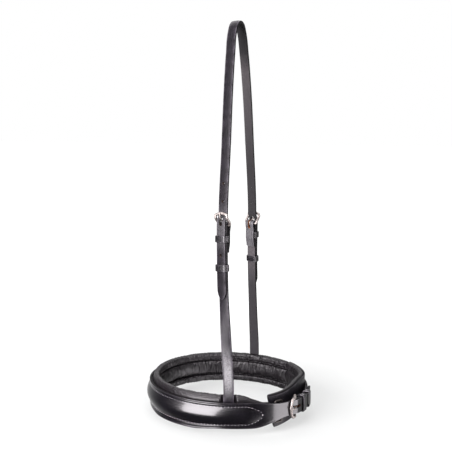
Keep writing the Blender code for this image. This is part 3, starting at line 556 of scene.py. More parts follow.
def rod_solid(name: str, rings: Array) -> tuple[Piece, Array, Array]:
    """Solid through a row of closed sections, shaped from a sphere.

    Args:
        name: Name of the piece.
        rings: Points as [section, point of the section, axis], with four, eight or so
            points to a section, as the sphere's columns start half a step off otherwise.

    Returns:
        The piece, closed over its first and last sections, with its faces outwards, and the
        section and place in it of each of its points; the first pole's section is -1.
    """
    count, sides = rings.shape[:2]
    piece = primitive(bpy.ops.mesh.primitive_uv_sphere_add, name, segments=sides,
                      ring_count=count + 1, radius=1.0)
    ball = coordinates(piece)
    polar = np.degrees(np.arccos(np.clip(ball[:, 2], -1.0, 1.0))) * (count + 1) / 180.0
    row = np.rint(polar).astype(int) - 1
    turn = np.degrees(np.arctan2(ball[:, 1], ball[:, 0])) * sides / 360.0
    column = np.rint(turn).astype(int) % sides
    places = rings[np.clip(row, 0, count - 1), column]
    places[row < 0] = rings[0].mean(axis=0)
    places[row >= count] = rings[-1].mean(axis=0)
    set_coordinates(piece, places)
    in_edit_mode(piece, lambda: bpy.ops.mesh.normals_make_consistent(inside=False))
    return piece, row, column


def round_section(radius: float) -> Array:
    """Round wire's section."""
    turns = np.linspace(0.0, 2.0 * np.pi, 14, endpoint=False)
    return radius * np.stack([np.cos(turns), np.sin(turns)], axis=1)


def rounded_box(half_x: float, low: float, high: float, corner: float, steps: int = 7) -> Array:
    """Rounded rectangle's outline, counter-clockwise, as rows of two distances."""
    outline = []
    for side, level, start in ((1, low, -90.0), (1, high, 0.0), (-1, high, 90.0), (-1, low, 180.0)):
        centre = (side * (half_x - corner), level + corner if level == low else level - corner)
        outline += arc(centre, corner, start, start + 90.0, steps)
    return np.array(outline)


@dataclass(frozen=True)
class Punch:
    """A hole through a strip, which a blunt punch leaves narrower on the flesh side."""

    along: float
    stretch: float = 0.0
    radius: float = HOLE_RADIUS
    taper: float = 0.0


def billet_punches(buckle: Buckle, side: int, holes: Sequence[int], radius: float,
                   taper: float) -> list[Punch]:
    """Slot and spare holes of the billet in a buckle.

    Args:
        buckle: The buckle that the billet lies in.
        side: Which way the strip's x grows there: 1 if towards the billet's tip.
        holes: Numbers of the spare holes, counted from the tongue towards the strap.
        radius: Radius of a spare hole.
        taper: How much narrower it is on the flesh side.

    Returns:
        The punches.
    """
    low, high = buckle.slot()
    made = [Punch(side * (buckle.pivot - 0.5 * (low + high)), high - low - 2.0 * HOLE_RADIUS)]
    return made + [Punch(side * (buckle.pivot - (high - HOLE_RADIUS + number * HOLE_PITCH)),
                         radius=radius, taper=taper) for number in holes]


def even(half: float) -> Callable[[Array], Array]:
    """Half width that is the same all along a strip."""
    return lambda x: np.full(len(x), half)


@dataclass
class Strip:
    """Leather strip that is cut flat, given its thickness, punched and edged, and then laid."""

    name: str
    rows: Array
    half_at: Callable[[Array], Array]
    thickness: float
    place: Place
    shares: Sequence[float] = (-0.7, -0.35, 0.0, 0.35, 0.7)
    crease_inset: float = 0.0017
    crease_depth: float = 0.00016
    edge_round: float = 0.0006
    crown: float = 0.0
    punches: Sequence[Punch] = ()
    # Where painted light is mixed into the grain side, from places along and across
    painted_light_at: Callable[[Array, Array], Array] | None = None

    def __post_init__(self) -> None:
        """Set how far in from the edge the close columns lie."""
        self.insets = np.array([0.0, 0.0008, 0.0012, 0.0017, 0.0022, 0.0027])

    def columns(self, half: Array) -> Array:
        """Distances across at each row, as [row, column]."""
        edge = half[:, None] - self.insets[None, :] * np.minimum(1.0, half / 0.004)[:, None]
        inner = edge[:, -1:] * np.array(self.shares)[None, :]
        return np.hstack([-edge, inner, edge[:, ::-1]])

    def build(self, finishes: Sequence[Material]) -> Piece:
        """Make the strip.

        Args:
            finishes: Materials of its grain side, cut holes, flesh side and edges.

        Returns:
            The strip in place.
        """
        across = self.columns(self.half_at(self.rows))
        piece = primitive(bpy.ops.mesh.primitive_grid_add, self.name, size=2.0,
                          x_subdivisions=len(self.rows) - 1, y_subdivisions=across.shape[1] - 1)
        along = np.broadcast_to(self.rows[:, None], across.shape)
        flat = np.stack([along.T.ravel(), across.T.ravel(), 0.0 * across.ravel()], axis=1)
        set_coordinates(piece, flat)
        write_pattern(piece, flat[:, :2])
        in_edit_mode(piece, lambda: bpy.ops.mesh.remove_doubles(threshold=1e-6))
        for material in finishes:
            piece.data.materials.append(material)
        add_modifier(piece, "SOLIDIFY", thickness=self.thickness, offset=1.0)
        if self.punches:
            self.punch(piece, finishes)
        add_modifier(piece, "BEVEL", width=self.edge_round, segments=2, limit_method="ANGLE",
                     angle_limit=math.radians(50.0), harden_normals=False)
        for face in piece.data.polygons:
            if face.material_index == 0:
                face.material_index = 2 if face.normal.z < -0.7 else 3 * (face.normal.z < 0.45)
        self.lay(piece)
        smooth(piece, 50.0)
        return piece

    def punch(self, piece: Piece, finishes: Sequence[Material]) -> None:
        """Cut the holes, which take the second finish."""
        spare = 0.2
        cutter = None
        for hole in self.punches:
            made = primitive(bpy.ops.mesh.primitive_cylinder_add, "punch", vertices=24,
                             radius=hole.radius, depth=2.0)
            local = coordinates(made)
            high = local[:, 2] > 0.0
            share = 1.0 - hole.taper * np.where(high, -spare, 1.0 + spare)
            local[:, :2] *= share[:, None]
            local[:, 2] = self.thickness * np.where(high, 1.0 + spare, -spare)
            local[:, 0] += 0.5 * hole.stretch * np.sign(np.round(local[:, 0], 7)) + hole.along
            set_coordinates(made, local)
            if cutter is not None:
                made.select_set(True)
                cutter.select_set(True)
                bpy.context.view_layer.objects.active = cutter
                bpy.ops.object.join()
            else:
                cutter = made
        for material in finishes[:2]:
            cutter.data.materials.append(material)
        cutter.data.polygons.foreach_set("material_index", [1] * len(cutter.data.polygons))
        add_modifier(piece, "BOOLEAN", object=cutter, operation="DIFFERENCE", solver="EXACT")
        bpy.data.objects.remove(cutter)

    def lay(self, piece: Piece) -> None:
        """Crease the grain side near its edges and bend the strip to its place."""
        x, y, z = coordinates(piece).T
        inset = self.half_at(x) - np.abs(y)
        crease = self.crease_depth * np.exp(-((inset - self.crease_inset) / 0.0004) ** 2)
        crease += self.crown * np.clip(np.abs(y) / self.half_at(x), 0.0, 1.0) ** 3
        z = z - np.where(z > 0.5 * self.thickness, crease, 0.0)
        # Nearness to the edge, which sets the paler edge: partly wear and partly a painted
        # highlight
        write_attribute(piece, "edge", np.exp(-np.maximum(inset, 0.0) / 0.0008))
        # Share of painted light on the grain side
        if self.painted_light_at:
            write_attribute(piece, "painted_light", self.painted_light_at(x, y) * (z > 0.2 * self.thickness))
        set_coordinates(piece, self.place(x, y, z))


@dataclass
class Stitching:
    """Row of sewn stitches, each one copied from a single shaped stitch."""

    name: str
    place: Place
    height: float
    pitch: float = 0.0030
    length: float = 0.0023
    radius: float = 0.00030
    slant_deg: float = 14.0
    lines: list[Array] = field(default_factory=list)

    def stitch(self) -> Piece:
        """One stitch, lying along x, that arches out of its two holes."""
        piece = primitive(
            bpy.ops.mesh.primitive_uv_sphere_add, "stitch", segments=6, ring_count=6, radius=1.0)
        bpy.ops.object.mode_set(mode="EDIT")
        bpy.ops.transform.rotate(
            value=math.radians(90.0), orient_axis="Y", center_override=(0.0, 0.0, 0.0))
        bpy.ops.transform.resize(value=(0.5 * self.length, self.radius, 0.8 * self.radius))
        bpy.ops.object.mode_set(mode="OBJECT")
        return piece

    def run(self, points: Array) -> None:
        """Add a line of stitches along flat points."""
        self.lines.append(np.asarray(points, float))

    def straight(self, start: float, end: float, across: float) -> None:
        """Add a straight line of stitches along the strip."""
        self.run(np.array([(start, across), (end, across)]))

    def build(self, finish: Material) -> Piece:
        """Copy the stitch along every line.

        Args:
            finish: The thread's material.

        Returns:
            One piece with all the stitches in place.
        """
        one = self.stitch()
        shape = coordinates(one)
        shape[:, 2] -= 0.5 * self.radius * (2.0 * shape[:, 0] / self.length) ** 2
        places = []
        for line in self.lines:
            count = max(2, round(float(running_length(line)[-1]) / self.pitch) + 1)
            centres = spaced(line, count)
            heading = unit(np.gradient(centres, axis=0))
            slant = math.radians(self.slant_deg)
            cos, sin = math.cos(slant), math.sin(slant)
            turned = np.stack([heading[:, 0] * cos - heading[:, 1] * sin,
                               heading[:, 0] * sin + heading[:, 1] * cos], axis=1)
            side = np.stack([-turned[:, 1], turned[:, 0]], axis=1)
            flat = (centres[:, None, :] + turned[:, None, :] * shape[None, :, :1]
                    + side[:, None, :] * shape[None, :, 1:2])
            x, y = flat[..., 0].ravel(), flat[..., 1].ravel()
            places.append(self.place(x, y, self.height + np.tile(shape[:, 2], count)))
        copies = sum(len(part) for part in places) // len(shape)
        faces = [[corner + number * len(shape) for corner in face.vertices]
                 for number in range(copies) for face in one.data.polygons]
        bpy.data.objects.remove(one)
        mesh = bpy.data.meshes.new(self.name)
        mesh.from_pydata([tuple(row) for row in np.vstack(places)], [], faces)
        piece = bpy.data.objects.new(self.name, mesh)
        bpy.context.scene.collection.objects.link(piece)
        in_edit_mode(piece, lambda: bpy.ops.mesh.normals_make_consistent(inside=False))
        piece.data.materials.append(finish)
        smooth(piece, 80.0)
        return piece


# Finishes -------------------------------------------------------------------------------------


def linear(colour: str) -> tuple[float, float, float, float]:
    """Linear colour of an sRGB hex value."""
    parts = [int(colour[start:start + 2], 16) / 255.0 for start in (1, 3, 5)]
    parts = [part / 12.92 if part <= 0.04045 else ((part + 0.055) / 1.055) ** 2.4 for part in parts]
    return (*parts, 1.0)


def wire(node: bpy.types.Node, values: dict | None = None,
         links: dict | None = None) -> bpy.types.Node:
    """Set and link a node's inputs.

    Args:
        node: The node.
        values: Values of its inputs, by name or number.
        links: Sockets that feed its inputs, by name or number.

    Returns:
        The node.
    """
    for key, value in (values or {}).items():
        node.inputs[key].default_value = value
    for key, socket in (links or {}).items():
        node.id_data.links.new(socket, node.inputs[key])
    return node


def add_node(tree: bpy.types.NodeTree, kind: str, values: dict | None = None,
             links: dict | None = None, out: int | str = 0, **settings: object
             ) -> bpy.types.NodeSocket:
    """Add a shader node with its settings and links.

    Args:
        tree: The nodes that it joins.
        kind: Node type, after the word that they all start with.
        values: Values of its inputs, by name or number.
        links: Sockets that feed its inputs, by name or number.
        out: The output to hand on, by name or number.
        **settings: The node's own settings.

    Returns:
        That output.
    """
    made = tree.nodes.new(f"ShaderNode{kind}")
    for key, value in settings.items():
        setattr(made, key, value)
    return wire(made, values, links).outputs[out]


def new_material(name: str) -> tuple[Material, bpy.types.NodeTree, bpy.types.Node]:
    """Material with only its Principled shader, and that shader."""
    material = bpy.data.materials.new(name)
    material.use_nodes = True
    return material, material.node_tree, material.node_tree.nodes["Principled BSDF"]


@dataclass(frozen=True)
class DyedLeather:
    """Drum-dyed cow leather, waxed: near black, with a fine pebbled grain and a soft gloss. Its
    edges take a paler colour that is partly wear and partly a painted highlight, and a strip can
    ask for painted light, a pale grainy grey mixed into its grain side.
    """

    name: str
    dark: str
    light: str
    rough_low: float
    rough_high: float
    coat: float
    coat_roughness: float
    grain_mm: float
    grain_depth_mm: float
    mottle_mm: float = 9.0
    # Paler colour along the cut edges, and its strength: partly real wear and partly a painted
    # highlight on the edge bevels
    wear_and_highlight_edge: str = "#6a656d"
    wear_and_highlight_share: float = 0.35
    crumple_mm: float = 0.0
    crumple_depth_mm: float = 0.0
    pebble_mm: float = 1.3
    pebble_depth_mm: float = 0.0
    specular: float = 0.5
    # Pale grey of the painted light, mixed into the grain side where a strip asks for it
    painted_light: str = "#9b9a9c"

    def make(self) -> Material:
        """Build the material."""
        material, tree, shader = new_material(self.name)
        spot = add_node(tree, "TexCoord", out="Object")
        scaled = add_node(tree, "Mapping", {"Scale": PER_MILLIMETRE}, {"Vector": spot})
        mottle = add_node(
            tree, "TexNoise", {"Scale": 1.0 / self.mottle_mm, "Detail": 5.0, "Roughness": 0.62},
            {"Vector": scaled})
        grain = add_node(
            tree, "TexVoronoi",
            {"Scale": 1.0 / self.grain_mm, "Smoothness": 0.6, "Randomness": 1.0},
            {"Vector": scaled}, feature="SMOOTH_F1")
        fine = add_node(tree, "TexNoise", {"Scale": 2.6 / self.grain_mm, "Detail": 3.0},
                        {"Vector": scaled})
        pits = add_node(tree, "Math", {1: 0.5}, {0: fine, 2: grain}, operation="MULTIPLY_ADD")
        shade = add_node(tree, "MapRange", {"From Min": 0.35, "From Max": 0.68}, {"Value": mottle})
        base = add_node(tree, "Mix", {6: linear(self.dark), 7: linear(self.light)},
                        {0: shade}, 2, data_type="RGBA")
        # Paler edges: partly real wear and partly a painted highlight, mottled like the rest
        edge = add_node(tree, "Attribute", out="Fac", attribute_name="edge")
        wear_and_highlight = add_node(tree, "Math", {1: self.wear_and_highlight_share}, {0: edge}, operation="MULTIPLY")
        rubbed = add_node(tree, "Math", links={0: wear_and_highlight, 1: shade}, operation="MULTIPLY")
        colour = add_node(
            tree, "Mix", {7: linear(self.wear_and_highlight_edge)}, {0: rubbed, 6: base}, 2, data_type="RGBA")
        # Painted light: where the strip sets it, a pale grey is mixed in, broken up by the pebble
        # specks
        painted_light_mask = add_node(tree, "Attribute", out="Fac", attribute_name="painted_light")
        pebble = add_node(
            tree, "TexNoise", {"Scale": 1.0 / self.pebble_mm, "Detail": 3.0, "Roughness": 0.6},
            {"Vector": scaled})
        specks = add_node(
            tree, "MapRange", {"From Min": 0.38, "From Max": 0.60, "To Min": 0.40, "To Max": 1.0},
            {"Value": pebble})
        # Share of painted light, speckled by the grain
        waxed = add_node(tree, "Math", links={0: painted_light_mask, 1: specks}, operation="MULTIPLY")
        colour = add_node(
            tree, "Mix", {7: linear(self.painted_light)}, {0: waxed, 6: colour}, 2, data_type="RGBA")
        rough = add_node(
            tree, "MapRange",
            {"From Min": 0.3, "From Max": 0.7, "To Min": self.rough_low, "To Max": self.rough_high},
            {"Value": fine})
        bump = add_node(
            tree, "Bump", {"Strength": 1.0, "Distance": self.grain_depth_mm * MILLIMETRE},
            {"Height": pits})
        if self.pebble_depth_mm:
            bump = add_node(
                tree, "Bump", {"Strength": 1.0, "Distance": self.pebble_depth_mm * MILLIMETRE},
                {"Height": pebble, "Normal": bump})
        if self.crumple_depth_mm:
            along, around, loose = (add_node(tree, "Attribute", out="Fac", attribute_name=name)
                                    for name in ("along", "around", "gathered"))
            skin = add_node(tree, "CombineXYZ", links={"X": along, "Y": around})
            close = 1.0 / (self.crumple_mm * MILLIMETRE)
            pulled = add_node(
                tree, "Mapping", {"Scale": (close, 0.28 * close, 1.0)}, {"Vector": skin})
            crumple = add_node(
                tree, "TexNoise", {"Scale": 1.0, "Detail": 3.0, "Distortion": 0.5},
                {"Vector": pulled})
            height = add_node(tree, "Math", links={0: crumple, 1: loose}, operation="MULTIPLY")
            bump = add_node(
                tree, "Bump", {"Strength": 1.0, "Distance": self.crumple_depth_mm * MILLIMETRE},
                {"Height": height, "Normal": bump})
        wire(shader, {"Coat Weight": self.coat, "Coat Roughness": self.coat_roughness,
                      "Specular IOR Level": self.specular},
             {"Base Color": colour, "Roughness": rough, "Normal": bump})
        return material


@dataclass(frozen=True)
class FleshSide:
    """Flesh side of dyed leather: matt, felted fibres, dark up to a ragged line, then with painted
    light that fades to painted shade along the strap.
    """

    name: str
    dark: str = "#131214"
    # Colours and places of the painted light: pale fades to mid between pale_from and pale_to along
    # the strip
    pale: str = "#454143"
    mid: str = "#201e20"
    pale_from: float = 0.046
    pale_to: float = 0.190
    specular: float = 0.3

    def make(self) -> Material:
        """Build the material."""
        material, tree, shader = new_material(self.name)
        uv = add_node(tree, "TexCoord", out="UV")
        spot = add_node(tree, "TexCoord", out="Object")
        x = add_node(tree, "SeparateXYZ", links={"Vector": uv}, out="X")
        along = add_node(tree, "Math", links={0: x}, operation="ABSOLUTE")
        scaled = add_node(tree, "Mapping", {"Scale": PER_MILLIMETRE}, {"Vector": spot})
        ragged = add_node(tree, "TexNoise", {"Scale": 0.35, "Detail": 4.0}, {"Vector": scaled})
        place = add_node(tree, "Math", {1: 0.016}, {0: ragged, 2: along}, operation="MULTIPLY_ADD")
        start = add_node(
            tree, "MapRange",
            {"From Min": self.pale_from + 0.004, "From Max": self.pale_from + 0.030},
            {"Value": place})
        fade = add_node(
            tree, "MapRange", {"From Min": self.pale_from, "From Max": self.pale_to},
            {"Value": along})
        # Painted light fading to painted shade along the strip
        lit = add_node(tree, "Mix", {6: linear(self.pale), 7: linear(self.mid)}, {0: fade}, 2,
                       data_type="RGBA")
        fibre = add_node(tree, "TexNoise", {"Scale": 0.9, "Detail": 6.0, "Roughness": 0.7},
                         {"Vector": scaled})
        speck = add_node(
            tree, "MapRange", {"From Min": 0.3, "From Max": 0.7, "To Min": 0.35, "To Max": 1.15},
            {"Value": fibre})
        mottled = add_node(
            tree, "Mix", {0: 1.0}, {6: lit, 7: speck}, 2, data_type="RGBA", blend_type="MULTIPLY")
        colour = add_node(
            tree, "Mix", {6: linear(self.dark)}, {0: start, 7: mottled}, 2, data_type="RGBA")
        bump = add_node(tree, "Bump", {"Strength": 1.0, "Distance": 0.00018}, {"Height": fibre})
        wire(shader, {"Roughness": 0.78, "Specular IOR Level": self.specular,
                      "Sheen Weight": 0.12, "Sheen Roughness": 0.5},
             {"Base Color": colour, "Normal": bump})
        return material


@dataclass(frozen=True)
class Fibrous:
    """Close fibres of two shades, as fine as they are many to a metre, with a slight relief."""

    name: str
    dark: str
    light: str
    rough: float = 0.55
    per_metre: float = 2600.0
    detail: float = 2.0
    relief: float = 0.00008
    specular: float = 0.5

    def make(self) -> Material:
        """Build the material."""
        material, tree, shader = new_material(self.name)
        spot = add_node(tree, "TexCoord", out="Object")
        fibres = add_node(
            tree, "TexNoise", {"Scale": self.per_metre, "Detail": self.detail}, {"Vector": spot})
        colour = add_node(tree, "Mix", {6: linear(self.dark), 7: linear(self.light)},
                          {0: fibres}, 2, data_type="RGBA")
        bump = add_node(tree, "Bump", {"Strength": 1.0, "Distance": self.relief},
                        {"Height": fibres})
        wire(shader, {"Roughness": self.rough, "Specular IOR Level": self.specular},
             {"Base Color": colour, "Normal": bump})
        return material


@dataclass(frozen=True)
class WaxedThread(Fibrous):
    """Waxed linen thread, twisted: matt, with a fine helical ply."""


@dataclass(frozen=True)
class EdgeDye(Fibrous):
    """Dyed and rubbed cut edge: darker and duller than the grain, with its layers just seen."""

    dark: str = "#040305"
    light: str = "#0f0d11"
    per_metre: float = 1100.0
    detail: float = 3.0
    relief: float = 0.00006
    specular: float = 0.22


@dataclass(frozen=True)
class RawLeather(Fibrous):
    """Undyed vegetable-tanned leather where a hole was cut: tan, matt and fibrous."""

    dark: str = "#4a2a18"
    light: str = "#a8673a"
    rough: float = 0.8
    per_metre: float = 1500.0
    detail: float = 4.0
    relief: float = 0.0001


@dataclass(frozen=True)
class PolishedSteel:
    """Stainless steel, cast and barrel polished: bright and faintly warm, with fine swirls."""

    name: str
    dark: str = "#8b8581"
    light: str = "#b1aba6"
    rough_low: float = 0.50
    rough_high: float = 0.58

    def make(self) -> Material:
        """Build the material."""
        material, tree, shader = new_material(self.name)
        spot = add_node(tree, "TexCoord", out="Object")
        scaled = add_node(tree, "Mapping", {"Scale": PER_MILLIMETRE}, {"Vector": spot})
        cloud = add_node(tree, "TexNoise", {"Scale": 0.4, "Detail": 3.0}, {"Vector": scaled})
        swirl = add_node(tree, "TexNoise", {"Scale": 3.0, "Detail": 2.0, "Distortion": 1.0},
                         {"Vector": scaled})
        colour = add_node(tree, "Mix", {6: linear(self.dark), 7: linear(self.light)},
                          {0: cloud}, 2, data_type="RGBA")
        rough = add_node(
            tree, "MapRange",
            {"From Min": 0.3, "From Max": 0.7, "To Min": self.rough_low, "To Max": self.rough_high},
            {"Value": swirl})
        bump = add_node(tree, "Bump", {"Strength": 1.0, "Distance": 0.000006}, {"Height": swirl})
        wire(shader, {"Metallic": 1.0},
             {"Base Color": colour, "Roughness": rough, "Normal": bump})
        return material


@dataclass
class Finishes:
    """Every material of the noseband, each made once."""

    def __post_init__(self) -> None:
        """Build the materials."""
        # The strap leathers' paler edges are partly wear and partly a painted highlight
        self.strap = DyedLeather(
            "waxed_strap_leather", "#0d0b10", "#19161c", 0.33, 0.46, 0.10, 0.26, 0.55, 0.07,
            pebble_depth_mm=0.20, specular=0.22, wear_and_highlight_share=0.8).make()
        self.head = DyedLeather(
            "matt_strap_leather", "#0b090d", "#161319", 0.38, 0.52, 0.0, 0.30, 0.55, 0.07,
            pebble_depth_mm=0.20, specular=0.16, wear_and_highlight_share=0.7).make()
        self.front = DyedLeather("polished_front_leather", "#060508", "#0d0b10", 0.24, 0.34, 0.6,
                                 0.13, 0.45, 0.02, mottle_mm=14.0).make()
        self.keeper = DyedLeather("polished_keeper_leather", "#08070a", "#141217", 0.26, 0.36, 0.3,
                                  0.18, 0.45, 0.03, wear_and_highlight_share=0.5).make()
        self.lining = DyedLeather(
            "soft_lining_leather", "#100e10", "#1a171a", 0.27, 0.37, 0.0, 0.30, 0.5, 0.03,
            crumple_mm=3.4, crumple_depth_mm=3.4, specular=0.45).make()
        self.flesh = FleshSide("strap_flesh_side").make()
        self.inner_flesh = FleshSide(
            "cheek_strap_flesh_side", "#1b191c", "#565254", "#232124", 0.050, 0.125).make()
        self.edge = EdgeDye("rubbed_strap_edge").make()
        self.raw = RawLeather("raw_cut_leather").make()
        # The cut walls of the holes and of the near slot, in dark brown
        self.punched = RawLeather("dark_hole_wall", "#0d0907", "#2e1c13").make()
        self.filler = RawLeather("felt_filler", "#6b5843", "#8f7a60", 0.9).make()
        self.steel = PolishedSteel("polished_stainless").make()
        # Much darker steel than the buckles', for the pad's end loop
        self.dull_steel = PolishedSteel(
            "dark_tumbled_stainless", "#3d3a39", "#5c5855", 0.44, 0.54).make()
        self.pale_thread = WaxedThread("grey_waxed_thread", "#7f7b80", "#bcb7bd").make()
        self.dark_thread = WaxedThread("black_waxed_thread", "#0b0a0c", "#1d1b1f").make()


def hand_over(piece: Piece, body: str,
              replaces: Iterable[str] = ()) -> None:
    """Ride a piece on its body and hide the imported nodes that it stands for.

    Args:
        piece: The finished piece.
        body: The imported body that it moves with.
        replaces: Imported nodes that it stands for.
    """
    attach(piece, body)
    if replaces:
        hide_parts(*replaces)
    LOG.info("%s rides on %s, %d faces", piece.name, body, len(piece.data.polygons))


# Hardware and keepers -------------------------------------------------------------------------


@dataclass
class BuckleHardware:
    """Frame and tongue of a buckle.

    The wire grows stouter away from the bar by stout across it and by stout_high outwards.
    """

    word: str
    body: str
    buckle: Buckle
    crown_share: float = 0.10
    corner_share: float = 0.16
    tip_share: float = 1.045
    stout: float = 1.24
    stout_high: float = 1.14

    def outline(self) -> Array:
        """Frame's centre line as distances across and above the pivot."""
        size = self.buckle
        corner, half = self.corner_share * size.length, size.half_width
        crown = self.crown_share * size.length
        line = [(0.0, 0.0), (0.45 * half, 0.0)]
        line += arc((half - corner, corner), corner, -90.0, 0.0, 6)
        line += [(half, size.length * share) for share in (0.4, 0.62)]
        line += arc((half - corner, size.length - crown - corner), corner, 0.0, 90.0, 6)
        line += [(share * half, size.length - crown * share) for share in (0.5, 0.25, 0.0)]
        line += [(-across, above) for across, above in reversed(line[1:-1])]
        return closed_curve(line, 96)

    def build(self, finishes: Finishes) -> None:
        """Make the frame and the tongue."""
        size = self.buckle
        across, above = self.outline().T
        out = mix(size.bar_out, size.front_out, ramp(above, 0.0, size.rise_share * size.length))
        stout = mix(1.0, np.array([self.stout, self.stout_high]),
                    ramp(above, 0.05 * size.length, 0.35 * size.length)[:, None])
        section = round_section(size.wire)[None] * stout[:, None, :]
        section[..., 1] = np.maximum(section[..., 1], -0.9 * size.wire)
        frame_piece = wire_loop(
            f"{self.word}_buckle_frame_steel", size.place(across, above, out),
            size.route.frames(size.pivot - above).out, section)
        frame_piece.data.materials.append(finishes.steel)
        hand_over(frame_piece, f"{self.body}_frame", [f"{self.word}_buckle_frame"])
        drawn = size.tongue_line()
        drawn[-1, 0] = self.tip_share * size.length
        line = spaced(smooth_line(drawn, 6), 70)
        heading = unit(np.gradient(line, axis=0))
        lift = np.stack([-heading[:, 1], heading[:, 0]], axis=1)
        run = running_length(line)
        from_tip = run[-1] - run
        radius = size.tongue_wire * (0.8 + 0.2 * ramp(from_tip, 0.0, 0.004))
        radius = radius * rounded_end(np.minimum(from_tip, run), size.tongue_wire, 0.03)
        rings = []
        for turn in np.linspace(0.0, 2.0 * np.pi, 16, endpoint=False):
            above = line[:, 0] + lift[:, 0] * radius * math.sin(turn)
            out = line[:, 1] + lift[:, 1] * radius * math.sin(turn)
            rings.append(size.place(radius * math.cos(turn), above, out))
        tongue, _, _ = rod_solid(f"{self.word}_buckle_tongue_steel", np.stack(rings, axis=1))
        tongue.data.materials.append(finishes.steel)
        smooth(tongue)
        hand_over(tongue, f"{self.body}_tongue", [f"{self.word}_buckle_tongue"])


@dataclass
class Keeper:
    """Leather loop round the strap, creased along both edges and sewn on its back."""

    node: str
    body: str
    spot: Frames
    half_width: float
    low: float
    high: float
    length: float
    leather: float = KEEPER_LEATHER
    corner: float = 0.0009
    crown: float = 0.0003

    def section(self) -> Array:
        """Leather's section as distances outwards and along the strap."""
        outline = rounded_box(0.5 * self.leather, -0.5 * self.length, 0.5 * self.length, 0.00035, 4)
        close = spaced(outline, 60, closed=True)
        crease = 0.00012 * np.exp(
            -((0.5 * self.length - np.abs(close[:, 1]) - 0.0012) / 0.0003) ** 2)
        close[:, 0] -= np.where(close[:, 0] > 0.0, crease, 0.0)
        return close

    def build(self, finishes: Finishes) -> None:
        """Make the loop and its stitches."""
        middle = 0.5 * self.leather
        line = rounded_box(self.half_width + middle, self.low - middle, self.high + middle,
                           self.corner + middle, 8)
        line = spaced(line, 88, closed=True)
        rise = self.crown * np.clip(1.0 - (line[:, 0] / self.half_width) ** 2, 0.0, 1.0)
        line[:, 1] += np.where(line[:, 1] > 0.5 * (self.low + self.high), rise, 0.0)
        heading = closed_heading(line)
        normal = np.stack([heading[:, 1], -heading[:, 0]], axis=1)
        centres = self.spot.at(*line.T)
        outer = self.spot.at(*(line + normal).T) - centres
        along = np.repeat(self.spot.back, len(line), axis=0)
        piece = loop_solid(f"{self.node}_leather", centres, outer, along, self.section())
        piece.data.materials.append(finishes.keeper)
        # Nearness to the edge, for the paler edge: partly wear and partly a painted highlight
        write_attribute(piece, "edge", np.tile(np.exp(
            -(0.5 * self.length - np.abs(self.section()[:, 1])) / 0.0006), len(line)))
        hand_over(piece, self.body, [self.node])
        side = self.half_width + self.leather
        depth = self.high - self.low

        def on_side(x: Array, y: Array, z: Array) -> Array:
            return self.spot.at(side + z, self.low + y, x)

        seam = Stitching(f"{self.node}_stitching", on_side, 0.0, pitch=0.0021, length=0.0017,
                         radius=0.00026, slant_deg=0.0)
        for share in (0.36, 0.64):
            seam.straight(-0.36 * self.length, 0.36 * self.length, share * depth)
        hand_over(seam.build(finishes.pale_thread), self.body)


# Straps ---------------------------------------------------------------------------------------


def billet_share(distance: Array) -> Array:
    """Share of a billet's width at a distance from its tip: an English point, rounded off."""
    point = 0.42 + 0.58 * np.sin(0.5 * np.pi * np.clip(distance / 0.011, 0.0, 1.0))
    return point * np.maximum(rounded_end(distance, 0.0016), 0.02)


def close_rows(start: float, end: float, step: float, tips: Iterable[float] = ()) -> Array:
    """Row places along a strip, closer together within 12 mm of each billet tip.

    Args:
        start: First place.
        end: Last place.
        step: Distance between rows.
        tips: Places that need close rows.

    Returns:
        Sorted places.
    """
    rows = list(np.linspace(start, end, round((end - start) / step) + 1))
    for tip in tips:
        inward = 1.0 if tip == start else -1.0
        rows = [row for row in rows if abs(row - tip) > 0.012 or row == tip]
        rows += [tip + inward * reach for reach in
                 (0.00015, 0.0004, 0.0008, 0.0013, 0.002, 0.003, 0.0045, 0.006, 0.008, 0.010)]
    return np.array(sorted(rows))


@dataclass
class HeadStrap:
    """One strip over the poll, with a pointed, punched billet at each end."""

    near: Buckle
    off: Buckle
    tail: float = 0.087
    holes: Sequence[int] = (-2, -1, 1, 2)
    hole_radius: float = 0.0018
    hole_taper: float = 0.6

    def place(self, x: Array, y: Array, z: Array) -> Array:
        """Places in the world; x runs from the near billet over the poll to the off one."""
        made = np.empty((len(x), 3))
        for side, buckle, chosen in ((-1, self.near, x < 0.0), (1, self.off, x >= 0.0)):
            length = np.abs(x[chosen])
            if len(length):
                lift = buckle.lift(buckle.pivot - length)
                made[chosen] = buckle.route.frames(length).at(side * y[chosen], lift + z[chosen])
        return made

    def build(self, finishes: Finishes) -> None:
        """Make the strip."""
        ends = (-(self.near.pivot + self.tail), self.off.pivot + self.tail)
        punches = [punch for side, buckle in ((-1, self.near), (1, self.off)) for punch in
                   billet_punches(buckle, side, self.holes, self.hole_radius, self.hole_taper)]

        def half_at(x: Array) -> Array:
            reach = np.minimum(x - ends[0], ends[1] - x)
            return 0.5 * STRAP_WIDTH * billet_share(reach)

        # Painted highlight on the near billet, about its buckle
        def painted_light(x: Array, y: Array) -> Array:
            below = -x - self.near.pivot
            return 0.15 * ramp(below, -0.035, 0.0) * ramp(below, 0.035, 0.012) * np.ones(len(y))

        strip = Strip(
            "head_strap_leather", close_rows(*ends, 0.003, ends), half_at, STRAP_THICKNESS,
            self.place, crown=0.0005, punches=punches, painted_light_at=painted_light)
        piece = strip.build([finishes.head, finishes.punched, finishes.flesh, finishes.edge])
        hand_over(piece, "noseband", ["head_strap"])


